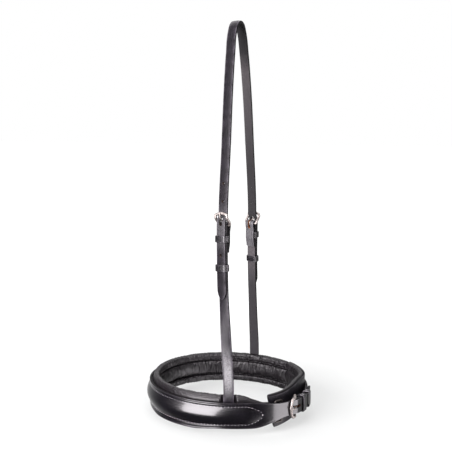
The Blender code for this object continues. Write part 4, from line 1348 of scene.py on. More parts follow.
@dataclass
class Fold:
    """Path of a folded strip, as places along and outwards, with its grain side to the left."""

    path: Array
    turn: float = 1.0

    def __post_init__(self) -> None:
        """Tabulate the lengths along the path and the directions out of the grain side."""
        self.lengths = running_length(self.path)
        heading = unit(np.gradient(self.path, self.lengths, axis=0))
        self.normals = self.turn * np.stack([-heading[:, 1], heading[:, 0]], axis=1)

    def at(self, x: Array, z: Array) -> tuple[Array, Array]:
        """Places along and outwards, at lengths along the path and heights over it."""
        along, out = read_line(x, self.lengths, self.path).T
        push = unit(read_line(x, self.lengths, self.normals))
        return along + push[:, 0] * z, out + push[:, 1] * z


@dataclass
class FoldedStrap:
    """Strap that is folded round its buckle's bar and sewn down behind it."""

    node: str
    buckle: Buckle
    half_width: float
    total: float
    turn_back: float
    keeper_end: float
    # Where painted light is mixed into the grain side
    painted_light_at: Callable[[Array, Array], Array] | None = None
    dark_slot: bool = False

    def __post_init__(self) -> None:
        """Lay out the folded path, which is squeezed where the fixed keeper is sewn in."""
        size = self.buckle
        radius = size.wire + BAR_PLAY
        squeezed = size.base - (KEEPER_LEATHER + 2.0 * KEEPER_GAP)
        below = self.turn_back * np.linspace(1.0, 0.0, 40)[:-1]
        out = mix(size.base - 2.0 * radius, squeezed, ramp(below, 0.0, 0.009))
        out = mix(out, size.base - GAP, ramp(below, self.keeper_end, self.keeper_end + 0.010))
        turns = np.radians(np.linspace(-90.0, 90.0, 24))
        bend = np.stack([size.pivot - radius * np.cos(turns),
                         size.base - radius + radius * np.sin(turns)], axis=1)
        main = np.linspace(size.pivot, self.total, 60)[1:]
        self.fold = Fold(np.vstack([
            np.stack([size.pivot + below, out], axis=1), bend,
            np.stack([main, np.full(len(main), size.base)], axis=1)]))
        self.bend_middle = float(self.fold.lengths[len(below) + len(turns) // 2])
        self.main_start = float(self.fold.lengths[len(below) + len(turns) - 1])

    def place(self, x: Array, y: Array, z: Array) -> Array:
        """Places in the world; x runs from the turned-back end round the bar and down."""
        along, out = self.fold.at(x, z)
        return self.buckle.route.frames(along).at(y, out)

    def build(self, finishes: Finishes) -> None:
        """Make the strap and the stitches that hold its turned-back end."""
        size = self.buckle
        bend = 0.5 * np.pi * (size.wire + BAR_PLAY)
        reach = size.loop_radius + size.tongue_wire + 0.003
        slot = size.tongue_wire + 0.0008
        punch = Punch(self.bend_middle, 2.0 * (bend + reach - slot), slot)
        tight = np.linspace(self.bend_middle - 1.4 * bend, self.bend_middle + 1.4 * bend, 22)
        rows = close_rows(0.0, float(self.fold.lengths[-1]), 0.003)
        rows = rows[(rows < tight[0] - 0.0008) | (rows > tight[-1] + 0.0008)]
        rows = np.array(sorted([*rows, *tight]))
        strip = Strip(f"{self.node}_leather", rows, even(self.half_width), size.strap,
                      self.place, crown=0.0005, punches=[punch], painted_light_at=self.painted_light_at)
        piece = strip.build([finishes.strap, finishes.punched if self.dark_slot else finishes.raw,
                             finishes.inner_flesh, finishes.edge])
        hand_over(piece, "noseband", [self.node])
        inset = 0.0022
        sewn = Stitching(f"{self.node}_stitching", self.place, size.strap)
        behind = Stitching(f"{self.node}_back_stitching", self.place, size.strap)
        for side in (-1, 1):
            y = side * (self.half_width - inset)
            sewn.straight(self.main_start + 0.0065, self.main_start + self.turn_back - 0.002, y)
            behind.straight(0.002, self.main_start - 2.0 * bend - 0.0065, y)
        hand_over(sewn.build(finishes.dark_thread), "noseband")
        hand_over(behind.build(finishes.dark_thread), "noseband")


@dataclass
class CheekSide:
    """One side's cheek strap with its buckle and keepers."""

    side: Side
    buckle: Buckle
    fixed_drop: float = 0.016
    runner_drop: float = 0.050
    keeper_length: float = 0.008
    turn_back: float = 0.032

    def build(self, finishes: Finishes) -> None:
        """Make the side's pieces."""
        word = f"{self.side.word}_cheek"
        size, route = self.buckle, self.buckle.route
        whole = self.turn_back + math.pi * (size.wire + BAR_PLAY) + route.total - size.pivot

        # Painted highlight on the near strap's lower part, away from its edges
        def near_painted_light(x: Array, y: Array) -> Array:
            from_end = whole - x
            share = ramp(from_end, 0.104, 0.060) * ramp(from_end, 0.026, 0.054)
            return 0.78 * share * ramp(np.abs(y), 0.5 * STRAP_WIDTH, 0.25 * STRAP_WIDTH)

        # Painted light on the off strap's turned-back end
        def off_painted_light(x: Array, y: Array) -> Array:
            return 0.30 * ramp(x, self.turn_back + 0.004, self.turn_back) * np.ones(len(y))

        FoldedStrap(f"{word}_strap", size, 0.5 * STRAP_WIDTH, route.total, self.turn_back,
                    self.fixed_drop + 0.5 * self.keeper_length,
                    near_painted_light if self.side is Side.NEAR else off_painted_light,
                    self.side is Side.NEAR).build(finishes)
        BuckleHardware(word, self.side.word, size).build(finishes)
        for part, drop, body in (("fixed_keeper", self.fixed_drop, "noseband"),
                                 ("runner_keeper", self.runner_drop, f"{self.side.word}_runner")):
            spot = route.frames(np.array([size.pivot + drop]))
            Keeper(f"{word}_{part}", body, spot, 0.5 * STRAP_WIDTH + KEEPER_GAP, -KEEPER_GAP,
                   size.lift_high + STRAP_THICKNESS + KEEPER_GAP,
                   self.keeper_length).build(finishes)


# The noseband ---------------------------------------------------------------------------------


@dataclass
class FrontStrap:
    """Outer leather: raised round the nose, then plain down to the near billet's tip."""

    ring: RingRoute
    chin: Buckle
    near_end_deg: float = RAISED_NEAR_DEG
    off_end_deg: float = RAISED_OFF_DEG
    lap_deg: float = -324.0
    tip_deg: float = 9.0
    chin_lap_deg: float = CHIN_LAP_DEG
    half_height: float = 0.016
    drop: float = 0.0035
    raise_half_height: float = 0.0106
    raise_height: float = 0.0036
    point_deg: float = 10.0
    fade_deg: float = 26.0
    sag: float = 0.0030
    sag_deg: float = -122.0
    narrow_from_deg: float = -64.0
    narrow_to_deg: float = -38.0
    seam_out: float = 0.0007
    hole_radius: float = 0.0016
    hole_taper: float = 0.5

    def narrowing(self, degrees: Array) -> Array:
        """Share by which the strap has narrowed to its billet, or as much at its off end."""
        return np.maximum(ramp(degrees, self.narrow_from_deg, self.narrow_to_deg),
                          ramp(-360.0 - degrees, self.narrow_from_deg, self.narrow_to_deg))

    def half_at(self, degrees: Array) -> Array:
        """Half height at an angle."""
        return mix(self.half_height, BILLET_HALF_HEIGHT, self.narrowing(degrees))

    def centre_at(self, degrees: Array) -> Array:
        """Height of the strap's centre line against the ring's."""
        return -mix(self.drop, BILLET_DROP, self.narrowing(degrees))

    def raise_half(self, degrees: Array) -> Array:
        """Half height of the raised part, which ends in a point."""
        inside = np.minimum(self.near_end_deg - degrees, degrees - self.off_end_deg)
        return self.raise_half_height * np.sqrt(np.clip(inside / self.point_deg, 0.0, 1.0))

    def raised(self, degrees: Array, height: Array) -> Array:
        """How far the strap is raised at an angle and a height from its centre line."""
        inside = np.minimum(self.near_end_deg - degrees, degrees - self.off_end_deg)
        half = np.maximum(self.raise_half(degrees), 1e-9)
        fade = mix(0.5 * np.clip(inside / self.point_deg, 0.0, 1.0), 1.0,
                   ramp(inside, self.point_deg, self.point_deg + self.fade_deg))
        return self.raise_height * fade * np.clip(1.0 - (height / half) ** 2, 0.0, 1.0)

    def out_at(self, length: Array) -> Array:
        """Outward place of the strap's inner face, away from its raised part."""
        over = GAP + CHIN_THICKNESS + LAP_GAP
        degrees, pivot, size = self.ring.degrees_at(length), self.chin.pivot, self.chin.length
        dip = mix(2.0 * GAP + BACKING_THICKNESS, BILLET_DIP,
                  ramp(length, pivot - size - 0.022, pivot - size - 0.0044))
        near = mix(dip, over, ramp(length, pivot - LIFT_START * size, pivot - LIFT_END * size))
        return mix(near, over, ramp(degrees, self.off_end_deg, self.chin_lap_deg - 360.0))

    def place(self, x: Array, y: Array, z: Array) -> Array:
        """Places in the world; x is a length along the ring."""
        degrees = self.ring.degrees_at(x)
        out = self.out_at(x) + self.raised(degrees, y)
        low = ramp(np.abs(degrees - self.sag_deg), 45.0, 15.0)
        low = low * np.clip(-y / self.half_height, 0.0, 1.0)
        seam = np.abs(y) - self.raise_half(degrees) - self.seam_out
        pulled = 0.00035 * np.exp(-(seam / 0.0006) ** 2) * (self.raise_half(degrees) > 0.0)
        return self.ring.frames(x).at(self.centre_at(degrees) + y - self.sag * low ** 2,
                                      out + z - np.where(z > 0.5 * FRONT_THICKNESS, pulled, 0.0))

    def build(self, finishes: Finishes) -> None:
        """Make the strap and its stitching."""
        start, tip = self.ring.length_at(self.lap_deg), self.ring.length_at(self.tip_deg)
        punches = billet_punches(self.chin, 1, (-2, -1), self.hole_radius, self.hole_taper)

        def half_at(x: Array) -> Array:
            return self.half_at(self.ring.degrees_at(x)) * billet_share(tip - x)

        strip = Strip(
            "nose_front_leather", close_rows(start, tip, 0.0022, [tip]), half_at, FRONT_THICKNESS,
            self.place, shares=np.linspace(-0.96, 0.96, 27), punches=punches)
        piece = strip.build([finishes.front, finishes.punched, finishes.strap, finishes.edge])
        hand_over(piece, "noseband", ["nose_front_strap"])
        # Drawn coarser than the real ones, about 2.6 mm apart, so that each stitch shows
        sewn = Stitching("nose_front_stitching", self.place, FRONT_THICKNESS, pitch=0.0040,
                         length=0.0017, radius=0.00043, slant_deg=30.0)
        degrees = np.linspace(self.off_end_deg + 0.02, self.near_end_deg - 0.02, 900)
        ends = np.minimum(degrees - self.off_end_deg, self.near_end_deg - degrees)
        half = self.raise_half(degrees) + self.seam_out * np.clip(ends, 0.0, 1.0)
        for side in (1, -1):
            sewn.run(np.stack([self.ring.length_at(degrees), side * half], axis=1))
        hand_over(sewn.build(finishes.pale_thread), "noseband")


@dataclass
class Backing:
    """Flat strap between the lining and the raised front."""

    ring: RingRoute
    front: FrontStrap
    step_in: float = 0.001

    def build(self, finishes: Finishes) -> None:
        """Make the strap."""
        start, end = (self.ring.length_at(end) for end in (RAISED_OFF_DEG, RAISED_NEAR_DEG))

        def half_at(x: Array) -> Array:
            return self.front.half_at(self.ring.degrees_at(x)) - self.step_in

        def place(x: Array, y: Array, z: Array) -> Array:
            degrees = self.ring.degrees_at(x)
            return self.ring.frames(x).at(self.front.centre_at(degrees) + y, GAP + z)

        strip = Strip("nose_backing_leather", close_rows(start, end, 0.004), half_at,
                      BACKING_THICKNESS, place, crease_depth=0.0, shares=(-0.5, 0.0, 0.5))
        hand_over(strip.build([finishes.strap] * 3 + [finishes.edge]), "noseband",
                  ["nose_backing_strap"])


def gathers(length: Array, seed: int) -> Array:
    """Uneven small folds along a gathered seam.

    Args:
        length: Places along the seam.
        seed: Seed of the folds' places.

    Returns:
        Heights from about -1 to 1, with narrow valleys.
    """
    chance = np.random.default_rng(seed)

    def wavy(distance: float, drift: Array | float = 0.0) -> Array:
        return np.sin(2.0 * np.pi * length / distance + drift + chance.uniform(0.0, 6.28))

    total = np.zeros(len(length))
    for fold in np.geomspace(LONGEST_FOLD, SHORTEST_FOLD, 7):
        drift = 0.6 * wavy(9.0 * fold)
        swell = 0.6 + 0.4 * wavy(5.3 * fold)
        total += swell * wavy(fold, drift)
    total /= 2.4
    return 2.0 * np.abs(np.clip(total, -1.0, 1.0)) ** 0.65 - 1.0


# How the skins stretch and settle, at the scale that they are simulated at
SOFT_LEATHER = {
    "quality": 6, "mass": 0.25, "tension_stiffness": 30.0, "compression_stiffness": 30.0,
    "shear_stiffness": 10.0, "bending_stiffness": 0.4, "tension_damping": 8.0,
    "compression_damping": 8.0, "bending_damping": 1.0, "air_damping": 3.0,
    "vertex_group_mass": "seams", "pin_stiffness": 20.0, "use_pressure": True}


@dataclass
class Cushion:
    """Soft leather skin over a filling, sewn down along its seams and at both ends.

    Each column runs along the skin: its places, its places when cut to full length and laid
    flat, the share by which it is held, 1 in the seams, and the share by which it is gathered.
    """

    name: str
    fullness: float
    end_rows: int
    pressure: float = 4.0
    scale: float = 20.0
    frames: int = 14
    cap: float = 0.0011
    columns: list[tuple[Array, Array, Array, Array]] = field(default_factory=list)

    def build(self, finish: Material) -> Piece:
        """Make the skin and let it fill out between its seams.

        Args:
            finish: The skin's material.

        Returns:
            The cushion in place.
        """
        rings, flat, sewn, gathered = (np.stack(part, axis=1) for part in zip(*self.columns))
        sewn[:self.end_rows] = sewn[-self.end_rows:] = 1.0
        piece, row, column = rod_solid(self.name, rings)
        piece.data.materials.append(finish)
        held = np.clip(row, 0, len(rings) - 1)
        write_attribute(piece, "along", flat[held, column, 0])
        write_attribute(piece, "around", running_length(rings[len(rings) // 2])[column])
        write_attribute(piece, "gathered", gathered[held, column])
        loose = flat[held, column]
        loose[row < 0], loose[row > held] = flat[0].mean(axis=0), flat[-1].mean(axis=0)
        self.fill(piece, loose, np.where(row == held, sewn[held, column], 1.0))
        add_modifier(piece, "SUBSURF", levels=1, render_levels=1)
        smooth(piece, 180.0)
        return piece

    def fill(self, piece: Piece, loose: Array, pinned: Array) -> None:
        """Simulate the skin as cloth under pressure, longer along its seams than they are.

        Args:
            piece: The skin.
            loose: Where its points lie when it is laid flat.
            pinned: Share by which each point is held.
        """
        start = coordinates(piece)
        select_only(piece)
        piece.shape_key_add(name="sewn")
        rest = piece.shape_key_add(name="loose")
        set_coordinates(piece, self.scale * start)
        piece.data.shape_keys.key_blocks["sewn"].data.foreach_set(
            "co", (self.scale * start).ravel())
        rest.data.foreach_set("co", (self.scale * loose).ravel())
        group = piece.vertex_groups.new(name="seams")
        for weight in np.unique(np.round(pinned, 2)):
            group.add([int(i) for i in np.flatnonzero(np.round(pinned, 2) == weight)],
                      float(weight), "REPLACE")
        modifier = piece.modifiers.new("skin", "CLOTH")
        settings = modifier.settings
        for key, value in SOFT_LEATHER.items():
            setattr(settings, key, value)
        settings.uniform_pressure_force = self.pressure
        settings.rest_shape_key = rest
        settings.effector_weights.gravity = 0.0
        modifier.collision_settings.use_collision = False
        modifier.point_cache.frame_start = 1
        modifier.point_cache.frame_end = self.frames
        for number in range(1, self.frames + 1):
            bpy.context.scene.frame_set(number)
        graph = bpy.context.evaluated_depsgraph_get()
        made = piece.evaluated_get(graph).to_mesh()
        flat = np.empty(3 * len(made.vertices))
        made.vertices.foreach_get("co", flat)
        piece.modifiers.remove(modifier)
        piece.shape_key_clear()
        moved = flat.reshape(-1, 3) / self.scale - start
        size = np.linalg.norm(moved, axis=1, keepdims=True)
        # The cap keeps the skin clear of what it lies against
        moved *= np.tanh(size / self.cap) * self.cap / np.maximum(size, 1e-9)
        LOG.info("%s: moved %.2f mm at most before the cap", self.name, 1000.0 * size.max())
        set_coordinates(piece, start + moved)
        bpy.context.scene.frame_set(1)


THREE_ROLLS = (
    (0.0, 0.80), (0.0, 0.0), (0.0, -0.80), (-0.06, -0.93), (-0.27, -1.0), (-0.52, -0.99),
    (-0.78, -0.90), (-0.88, -0.74), (-0.80, -0.58), (-0.54, -0.50), (-0.80, -0.41),
    (-0.95, -0.24), (-1.0, 0.0), (-0.95, 0.24), (-0.80, 0.41), (-0.54, 0.50), (-0.80, 0.58),
    (-0.88, 0.74), (-0.78, 0.90), (-0.52, 0.99), (-0.27, 1.0), (-0.06, 0.93))


@dataclass
class Lining:
    """Padded lining with three rolls, sewn down in two grooves and gathered along them."""

    ring: RingRoute
    front: FrontStrap
    half_height: float = 0.020
    thickness: float = 0.010
    near_end_deg: float = -51.0
    off_end_deg: float = -316.3
    seats_deg: Sequence[float] = (NEAR_SEAT_DEG, OFF_SEAT_DEG - 360.0)
    sides: int = 52
    step: float = 0.0010
    ease: float = 1.16
    pucker: float = 0.00060

    def section(self) -> Array:
        """Outline as shares of the thickness and the half height, closest on its inner side."""
        line = closed_curve(THREE_ROLLS, 900)
        close = 0.25 + 0.75 * ramp(-line[:, 0], 0.02, 0.15)
        close += 1.2 * np.exp(-((np.abs(line[:, 1]) - 0.5) / 0.05) ** 2) * (line[:, 0] < -0.3)
        share = np.concatenate([[0.0], np.cumsum(close)[:-1]]) / close.sum()
        return read_line(np.linspace(0.0, 1.0, self.sides, endpoint=False), share, line)

    def notched(self, lengths: Array, height: Array, out: Array) -> Array:
        """Outward places, pressed in where a cheek strap runs behind the lining."""
        for degrees in self.seats_deg:
            reach = np.abs(lengths - self.ring.length_at(degrees))
            depth = (STRAP_THICKNESS + 0.0008) * ramp(reach, 0.0105, 0.0076)
            depth = depth * ramp(height, -TAB_DROP - 0.0025, -TAB_DROP - 0.0006)
            out = np.where(depth > 0.0, np.minimum(out, -depth), out)
        return out

    def build(self, finishes: Finishes) -> None:
        """Make the cushion."""
        lengths = self.ring.stations(self.off_end_deg, self.near_end_deg, self.step)
        degrees = self.ring.degrees_at(lengths)
        near = ramp(degrees, self.near_end_deg - 23.0, self.near_end_deg)
        off = ramp(degrees, self.off_end_deg + 8.0, self.off_end_deg)
        from_end = np.minimum(lengths - lengths[0], lengths[-1] - lengths)
        swell = rounded_end(from_end, 0.0035)
        height = self.half_height * mix(1.0, 0.62, near) * mix(0.96, 1.0, swell)
        thick = self.thickness * mix(1.0, 0.40, near) * mix(1.0, 0.75, off) * mix(0.7, 1.0, swell)
        frames = self.ring.frames(lengths)
        centre = self.front.centre_at(degrees) * near
        section = self.section()
        around = closed_heading(section * (self.thickness, self.half_height))
        soft = ramp(from_end, 0.0, 0.012)
        seam = np.exp(-((lengths - self.ring.length_at(self.seats_deg[1])) / 0.0009) ** 2)
        cushion = Cushion("nose_lining_cushion", 0.7, 3)
        for (n, z), (along_n, along_z) in zip(section, around):
            inner = ramp(-n, 0.04, 0.3)
            middle = abs(z) < 0.47
            fold = gathers(lengths + 0.1 * z * self.half_height,
                           3 if z > 0.5 else 5 if z < -0.5 else 7)
            from_seam = min(abs(abs(z) - 0.5), 1.02 - abs(z))
            groove = math.exp(-((abs(z) - 0.5) / 0.035) ** 2) * (n < -0.3)
            near_seam = math.exp(-(from_seam / 0.27) ** 2)
            slack = mix(0.25, 1.0, ramp(-n, 0.3, 0.75)) * mix(1.0, 0.25, near)
            amount = self.pucker * near_seam * inner
            push = amount * (1.0 - 0.8 * groove) * fold * soft - 0.0007 * groove
            push = push - 0.0009 * seam * inner * middle
            h = centre + z * height + along_n * push
            out = self.notched(lengths, h, n * thick - along_z * push)
            cushion.columns.append((
                frames.at(h, out),
                np.stack([self.ease * lengths, n * thick, z * height], axis=1),
                np.maximum(float(groove > 0.6 or n > -0.3), (seam > 0.7) * middle),
                (0.3 + 0.7 * near_seam) * slack))
        hand_over(cushion.build(finishes.lining), "noseband", ["nose_lining"])


@dataclass
class ChinPad:
    """Crowned cushion behind the chin, sewn to its leather backing."""

    ring: RingRoute
    chin: Buckle
    near_end_deg: float = -47.5
    off_end_deg: float = 43.0
    half_height: float = 0.021
    thickness: float = 0.009
    backing: float = 0.0015
    sides: int = 76
    step: float = 0.0015
    ease: float = 1.05

    def stand(self, degrees: Array | float) -> Array:
        """How far the pad stands in from the ring, to clear the folded strap."""
        inner = -self.chin.bar_out + self.chin.wire + BAR_PLAY + self.chin.strap + GAP
        return self.ring.bulge(degrees) + mix(inner, 0.0, ramp(degrees, -8.0, 14.0))

    def slant(self, degrees: Array, height: Array) -> Array:
        """How far the near end is cut back at a height."""
        share = ramp(degrees, self.near_end_deg + 14.0, self.near_end_deg)
        return 0.0045 * share * height / self.half_height

    def centre_at(self, degrees: Array | float) -> Array:
        """Height of the pad's centre line: its near end hangs lower."""
        return -0.007 * ramp(degrees, 5.0, self.near_end_deg)

    def build(self, finishes: Finishes) -> None:
        """Make the cushion and its backing."""
        lengths = self.ring.stations(self.near_end_deg, self.off_end_deg, self.step)
        start, end = float(lengths[0]), float(lengths[-1])
        degrees = self.ring.degrees_at(lengths)
        frames = self.ring.frames(lengths)
        face = -self.stand(degrees) - self.backing - GAP
        swell = rounded_end(np.minimum(lengths - start, end - lengths), 0.006, 0.06)
        centre = self.centre_at(degrees)
        section = closed_curve([
            (0.0, 0.84), (0.0, 0.0), (0.0, -0.84), (-0.14, -0.97), (-0.42, -1.0), (-0.70, -0.93),
            (-0.84, -0.84), (-0.80, -0.76), (-0.66, -0.70), (-0.84, -0.62), (-0.96, -0.40),
            (-1.0, 0.0), (-0.96, 0.40), (-0.84, 0.62), (-0.66, 0.70), (-0.80, 0.76),
            (-0.84, 0.84), (-0.70, 0.93), (-0.42, 1.0), (-0.14, 0.97)], self.sides)
        rolls = closed_curve(THREE_ROLLS, self.sides)
        rolled = ramp(degrees, 4.0, 24.0)
        cushion = Cushion("chin_pad_cushion", 0.8, 2, pressure=0.4, cap=0.0006)
        for (n_pad, z_pad), (n_roll, z_roll) in zip(section, rolls):
            n, z = mix(n_pad, n_roll, rolled), mix(z_pad, z_roll, rolled)
            fold = gathers(lengths + 0.1 * z * self.half_height, 11)
            from_seam = np.minimum(np.abs(np.abs(z) - 0.5), 1.02 - np.abs(z))
            near_seam = np.exp(-(from_seam / 0.27) ** 2) * ramp(-n, 0.04, 0.3)
            height = z * self.half_height * mix(0.97, 1.0, swell)
            push = mix(0.0001, 0.0004, rolled) * near_seam * fold
            places = frames.at(
                centre + height + np.sign(z) * push,
                face + n * self.thickness * swell * 0.96 - 0.6 * push, self.slant(degrees, height))
            cushion.columns.append((
                places,
                np.stack([self.ease * running_length(places),
                          1.02 * n * self.thickness * swell, height], axis=1),
                np.full(len(lengths), float(n_pad > -0.2)),
                mix(0.08, 0.3 + 0.7 * near_seam, rolled)))
        hand_over(cushion.build(finishes.lining), "noseband", ["chin_pad"])

        def place(x: Array, y: Array, z: Array) -> Array:
            angle = self.ring.degrees_at(x)
            return self.ring.frames(x).at(self.centre_at(angle) + y,
                                          -self.stand(angle) - self.backing + z,
                                          self.slant(angle, y))

        strip = Strip("chin_pad_backing_leather", close_rows(start, end, 0.003),
                      even(self.half_height - 0.001), self.backing, place, edge_round=0.0004)
        hand_over(strip.build([finishes.strap] * 3 + [finishes.edge]), "noseband",
                  ["chin_pad_backing"])
        sewn = Stitching("chin_pad_stitching", place, self.backing)
        for side in (1, -1):
            sewn.straight(start + 0.002, end - 0.002, side * (self.half_height - 0.0035))
        hand_over(sewn.build(finishes.dark_thread), "noseband")


@dataclass
class EndLoop:
    """Steel loop at the pad's near end, held by a folded tab."""

    pad: ChinPad
    wire: float = 0.0013
    half_height: float = 0.0135
    length: float = 0.011
    corner: float = 0.0025
    play: float = 0.0005
    bar_deg: float = -38.0
    tab_leather: float = KEEPER_LEATHER
    tab_half: float = 0.006
    tab_length: float = 0.012

    def place(self, across: Array, before: Array, out: Array) -> Array:
        """Places in the world about the loop's bar."""
        bar = self.pad.ring.length_at(self.bar_deg)
        droop = self.pad.centre_at(self.bar_deg)
        return self.pad.ring.frames(bar - before).at(droop + across, out)

    def build(self, finishes: Finishes) -> None:
        """Make the loop and the tab."""
        turn = self.wire + self.play
        bar_out = -float(self.pad.stand(self.bar_deg)) + GAP + self.tab_leather + turn
        outline = rounded_box(self.half_height, 0.0, self.length, self.corner, 8)
        outline = spaced(outline, 96, closed=True)
        bar = self.pad.ring.length_at(self.bar_deg)
        piece = wire_loop(
            "pad_end_loop_steel", self.place(*outline.T, bar_out),
            self.pad.ring.frames(bar - outline[:, 1]).out, round_section(self.wire))
        piece.data.materials.append(finishes.dull_steel)
        hand_over(piece, "end_loop", ["pad_end_loop"])
        inner = bar_out - turn
        path = [(-self.tab_length * share, inner) for share in np.linspace(1.0, 0.0, 12)[:-1]]
        path += arc((0.0, bar_out), turn, -90.0, 90.0, 14)
        path += [(-self.tab_length * share, mix(bar_out + turn, inner + GAP,
                  float(ramp(share, 0.0, 0.8)))) for share in np.linspace(0.0, 1.0, 12)[1:]]
        fold = Fold(np.array(path), -1.0)
        end = float(fold.lengths[-1])

        def place(x: Array, y: Array, z: Array) -> Array:
            return self.place(-y, *fold.at(x, z))

        strip = Strip("pad_end_tab_leather", close_rows(0.0, end, 0.0007), even(self.tab_half),
                      self.tab_leather, place, edge_round=0.0003, shares=(-0.5, 0.0, 0.5))
        hand_over(strip.build([finishes.keeper] * 3 + [finishes.edge]), "noseband",
                  ["pad_end_tab"])
        sewn = Stitching("pad_end_tab_stitching", place, self.tab_leather, pitch=0.0024,
                         length=0.0018)
        for y in (-0.0042, 0.0042):
            sewn.straight(end - 0.008, end - 0.0015, y)
        hand_over(sewn.build(finishes.pale_thread), "noseband")


@dataclass
class ChinStrap:
    """Strap round the chin with its buckle and keepers."""

    ring: RingRoute
    chin: Buckle
    turn_back: float = 0.0165
    fixed_set: float = 0.0088
    runner_set: float = 0.0245
    keeper_length: float = 0.007
    room: float = 0.0006

    def build(self, finishes: Finishes) -> None:
        """Make the strap, the buckle and the keepers."""
        total = float(self.ring.length_at(CHIN_LAP_DEG))
        FoldedStrap("chin_strap", self.chin, BILLET_HALF_HEIGHT, total, self.turn_back,
                    self.fixed_set + 0.5 * self.keeper_length).build(finishes)
        BuckleHardware("chin", "chin", self.chin, stout=1.0, stout_high=1.0).build(finishes)
        for part, set_back, body in (("fixed_keeper", self.fixed_set, "noseband"),
                                     ("runner_keeper", self.runner_set, "chin_runner")):
            low = self.chin.base - (KEEPER_GAP if part == "fixed_keeper" else self.room)
            spot = self.chin.route.frames(np.array([self.chin.pivot + set_back]))
            Keeper(f"chin_{part}", body, spot, BILLET_HALF_HEIGHT + self.room, low,
                   self.chin.lift_high + FRONT_THICKNESS + self.room,
                   self.keeper_length).build(finishes)


# The studio -----------------------------------------------------------------------------------


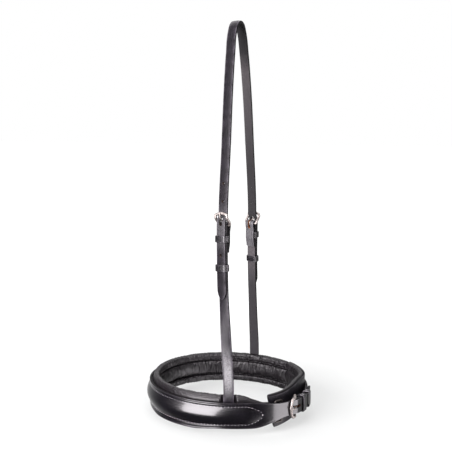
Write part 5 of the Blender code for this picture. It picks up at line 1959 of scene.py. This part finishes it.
@dataclass
class Studio:
    """Camera, floor, lamps and surroundings."""

    azimuth_deg: float = 12.0
    pitch_deg: float = 9.1
    distance: float = 0.980
    height: float = 0.369
    side: float = 0.004
    focal_px: float = 787.0
    picture_px: float = 452.0
    ring_centre: Sequence[float] = (-0.0098, 0.0, -0.461)
    lamp_aim: Sequence[float] = (0.0, -0.06, -0.45)

    def stand(self, name: str, data: bpy.types.ID, place: Vector, ahead: Vector) -> Piece:
        """Add a camera or a lamp that faces ahead."""
        made = bpy.data.objects.new(name, data)
        made.location = place
        made.rotation_euler = ahead.to_track_quat("-Z", "Y").to_euler()
        bpy.context.scene.collection.objects.link(made)
        return made

    def camera(self) -> None:
        """Stand the camera where the photograph was taken from."""
        turn, pitch = math.radians(self.azimuth_deg), math.radians(self.pitch_deg)
        ahead = Vector((-math.sin(turn), math.cos(turn), 0.0))
        right = Vector((math.cos(turn), math.sin(turn), 0.0))
        data = bpy.data.cameras.new("camera")
        data.sensor_width = 36.0
        data.lens = data.sensor_width * self.focal_px / self.picture_px
        eye = Vector(self.ring_centre) - ahead * self.distance - right * self.side
        eye.z += self.height
        look = ahead * math.cos(pitch) - Vector((0.0, 0.0, math.sin(pitch)))
        bpy.context.scene.camera = self.stand("camera", data, eye, look)

    def lamp(self, name: str, azimuth_deg: float, elevation_deg: float, distance: float,
             size: tuple[float, float], watts: float) -> None:
        """Add a soft box that faces the noseband.

        Args:
            name: Name of the lamp.
            azimuth_deg: Its direction, from the near side towards the chin.
            elevation_deg: Its height over the ring.
            distance: How far off it stands.
            size: Width and height.
            watts: Its power.
        """
        data = bpy.data.lights.new(name, "AREA")
        data.shape = "RECTANGLE"
        data.size, data.size_y = size
        data.energy = watts
        data.color = (1.0, 0.95, 0.99)
        turn, rise = math.radians(azimuth_deg), math.radians(elevation_deg)
        away = Vector((math.sin(turn) * math.cos(rise), -math.cos(turn) * math.cos(rise),
                       math.sin(rise)))
        lamp = self.stand(name, data, Vector(self.lamp_aim) + away * distance, -away)
        lamp.visible_camera = False

    def floor(self) -> None:
        """Lay a pale floor just under the noseband."""
        low = CAD_BOX[0].z - 0.002
        floor = primitive(
            bpy.ops.mesh.primitive_plane_add, "studio_floor", size=12.0, location=(0.0, 0.0, low))
        material, tree, shader = new_material("white_paper_floor")
        tree.nodes.remove(shader)
        paper = add_node(tree, "BsdfDiffuse", {"Color": linear("#808381")})
        ray = add_node(tree, "LightPath", out="Is Camera Ray")
        spot = add_node(tree, "TexCoord", out="Object")
        far = add_node(tree, "VectorMath", links={0: spot}, out="Value", operation="LENGTH")
        edge = add_node(
            tree, "MapRange", {"From Min": 0.14, "From Max": 0.5, "To Min": 0.56, "To Max": 1.0},
            {"Value": far})
        level = add_node(tree, "Mix", {2: 0.10}, {0: ray, 3: edge}, data_type="FLOAT")
        lit = add_node(tree, "Emission", {"Color": linear("#ffffff")}, {"Strength": level})
        both = add_node(tree, "AddShader", links={0: paper, 1: lit})
        wire(tree.nodes["Material Output"], links={"Surface": both})
        floor.data.materials.append(material)
        floor.visible_glossy = False

    def surroundings(self) -> None:
        """Light the room evenly and show a white backdrop."""
        world = bpy.data.worlds.new("studio")
        bpy.context.scene.world = world
        world.use_nodes = True
        tree = world.node_tree
        rays = add_node(tree, "LightPath").node.outputs
        spot = add_node(tree, "TexCoord", out="Generated")
        ahead = add_node(tree, "SeparateXYZ", links={"Vector": spot}, out="Y")
        room = add_node(
            tree, "MapRange", {"From Min": 0.0, "From Max": 0.7, "To Min": 0.03, "To Max": 0.65},
            {"Value": ahead})
        mirrored = add_node(
            tree, "Math", links={0: rays["Is Glossy Ray"], 1: rays["Is Transmission Ray"]},
            operation="MAXIMUM")
        plain = add_node(tree, "Mix", {2: 0.40}, {0: mirrored, 3: room}, data_type="FLOAT")
        level = add_node(tree, "Mix", {3: 1.0}, {0: rays["Is Camera Ray"], 2: plain},
                         data_type="FLOAT")
        wire(tree.nodes["Background"], {"Color": linear("#ffffff")}, {"Strength": level})

    def build(self) -> None:
        """Set up the studio."""
        scene = bpy.context.scene
        scene.view_settings.view_transform = "Standard"
        self.camera()
        self.floor()
        self.surroundings()
        self.lamp("left_soft_box", -29.0, 15.0, 1.5, (1.28, 1.75), 100.0)
        self.lamp("right_soft_box", 77.0, -20.0, 1.1, (0.76, 1.5), 20.0)
        self.lamp("overhead_soft_box", -150.0, 62.0, 1.3, (1.2, 0.9), 10.0)
        self.lamp("top_soft_box", 20.0, 66.0, 1.4, (0.9, 0.5), 8.0)


def dress_hidden_nodes(finishes: Finishes) -> None:
    """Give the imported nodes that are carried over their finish."""
    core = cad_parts["raised_core"]
    core.data.materials.clear()
    core.data.materials.append(finishes.filler)


def main() -> None:
    """Build the noseband, piece by piece, and the studio round it."""
    logging.basicConfig(level=logging.INFO, format="%(message)s")
    finishes = Finishes()
    ring = RingRoute()
    near_shares = ((-0.017, -0.083, 0.0075), (-0.030, -0.131, 0.026), (-0.030, -0.262, 0.082),
                   (-0.025, -0.417, 0.162), (-0.016, -0.643, 0.320), (-0.022, -0.790, 0.4685),
                   (-0.010, -0.868, 0.610), (0.033, -0.925, 0.822))
    off_shares = ((0.017, 0.083, 0.0075), (0.027, 0.125, 0.022), (0.040, 0.262, 0.082),
                  (0.047, 0.417, 0.160), (0.057, 0.643, 0.334), (0.070, 0.790, 0.505),
                  (0.056, 0.872, 0.660), (0.073, 0.925, 0.830))
    near_route = SideRoute(ring, Side.NEAR, NEAR_SEAT_DEG, near_shares, (0.67, 0.87))
    off_route = SideRoute(ring, Side.OFF, OFF_SEAT_DEG, off_shares, (0.73, 0.94))
    near, off = (
        Buckle(route, pivot, base=0.0, strap=STRAP_THICKNESS, width=STRAP_WIDTH, wire=0.0014,
               length=0.014, side_room=0.0009, tongue_wire=0.00095, billet=STRAP_THICKNESS,
               lift_low=0.0)
        for route, pivot in ((near_route, 0.251), (off_route, 0.2685)))
    chin = Buckle(
        ChinRoute(ring), float(ring.length_at(CHIN_PIVOT_DEG)), base=GAP, strap=CHIN_THICKNESS,
        width=2.0 * BILLET_HALF_HEIGHT, wire=0.0016, length=0.015, side_room=0.0013,
        tongue_wire=0.0011, billet=FRONT_THICKNESS, lift_low=BILLET_DIP)
    HeadStrap(near, off).build(finishes)
    CheekSide(Side.NEAR, near).build(finishes)
    CheekSide(Side.OFF, off).build(finishes)
    front = FrontStrap(ring, chin)
    front.build(finishes)
    Backing(ring, front).build(finishes)
    Lining(ring, front).build(finishes)
    pad = ChinPad(ring, chin)
    pad.build(finishes)
    ChinStrap(ring, chin).build(finishes)
    EndLoop(pad).build(finishes)
    dress_hidden_nodes(finishes)
    Studio().build()
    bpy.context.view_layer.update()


if __name__ == "__main__":
    main()
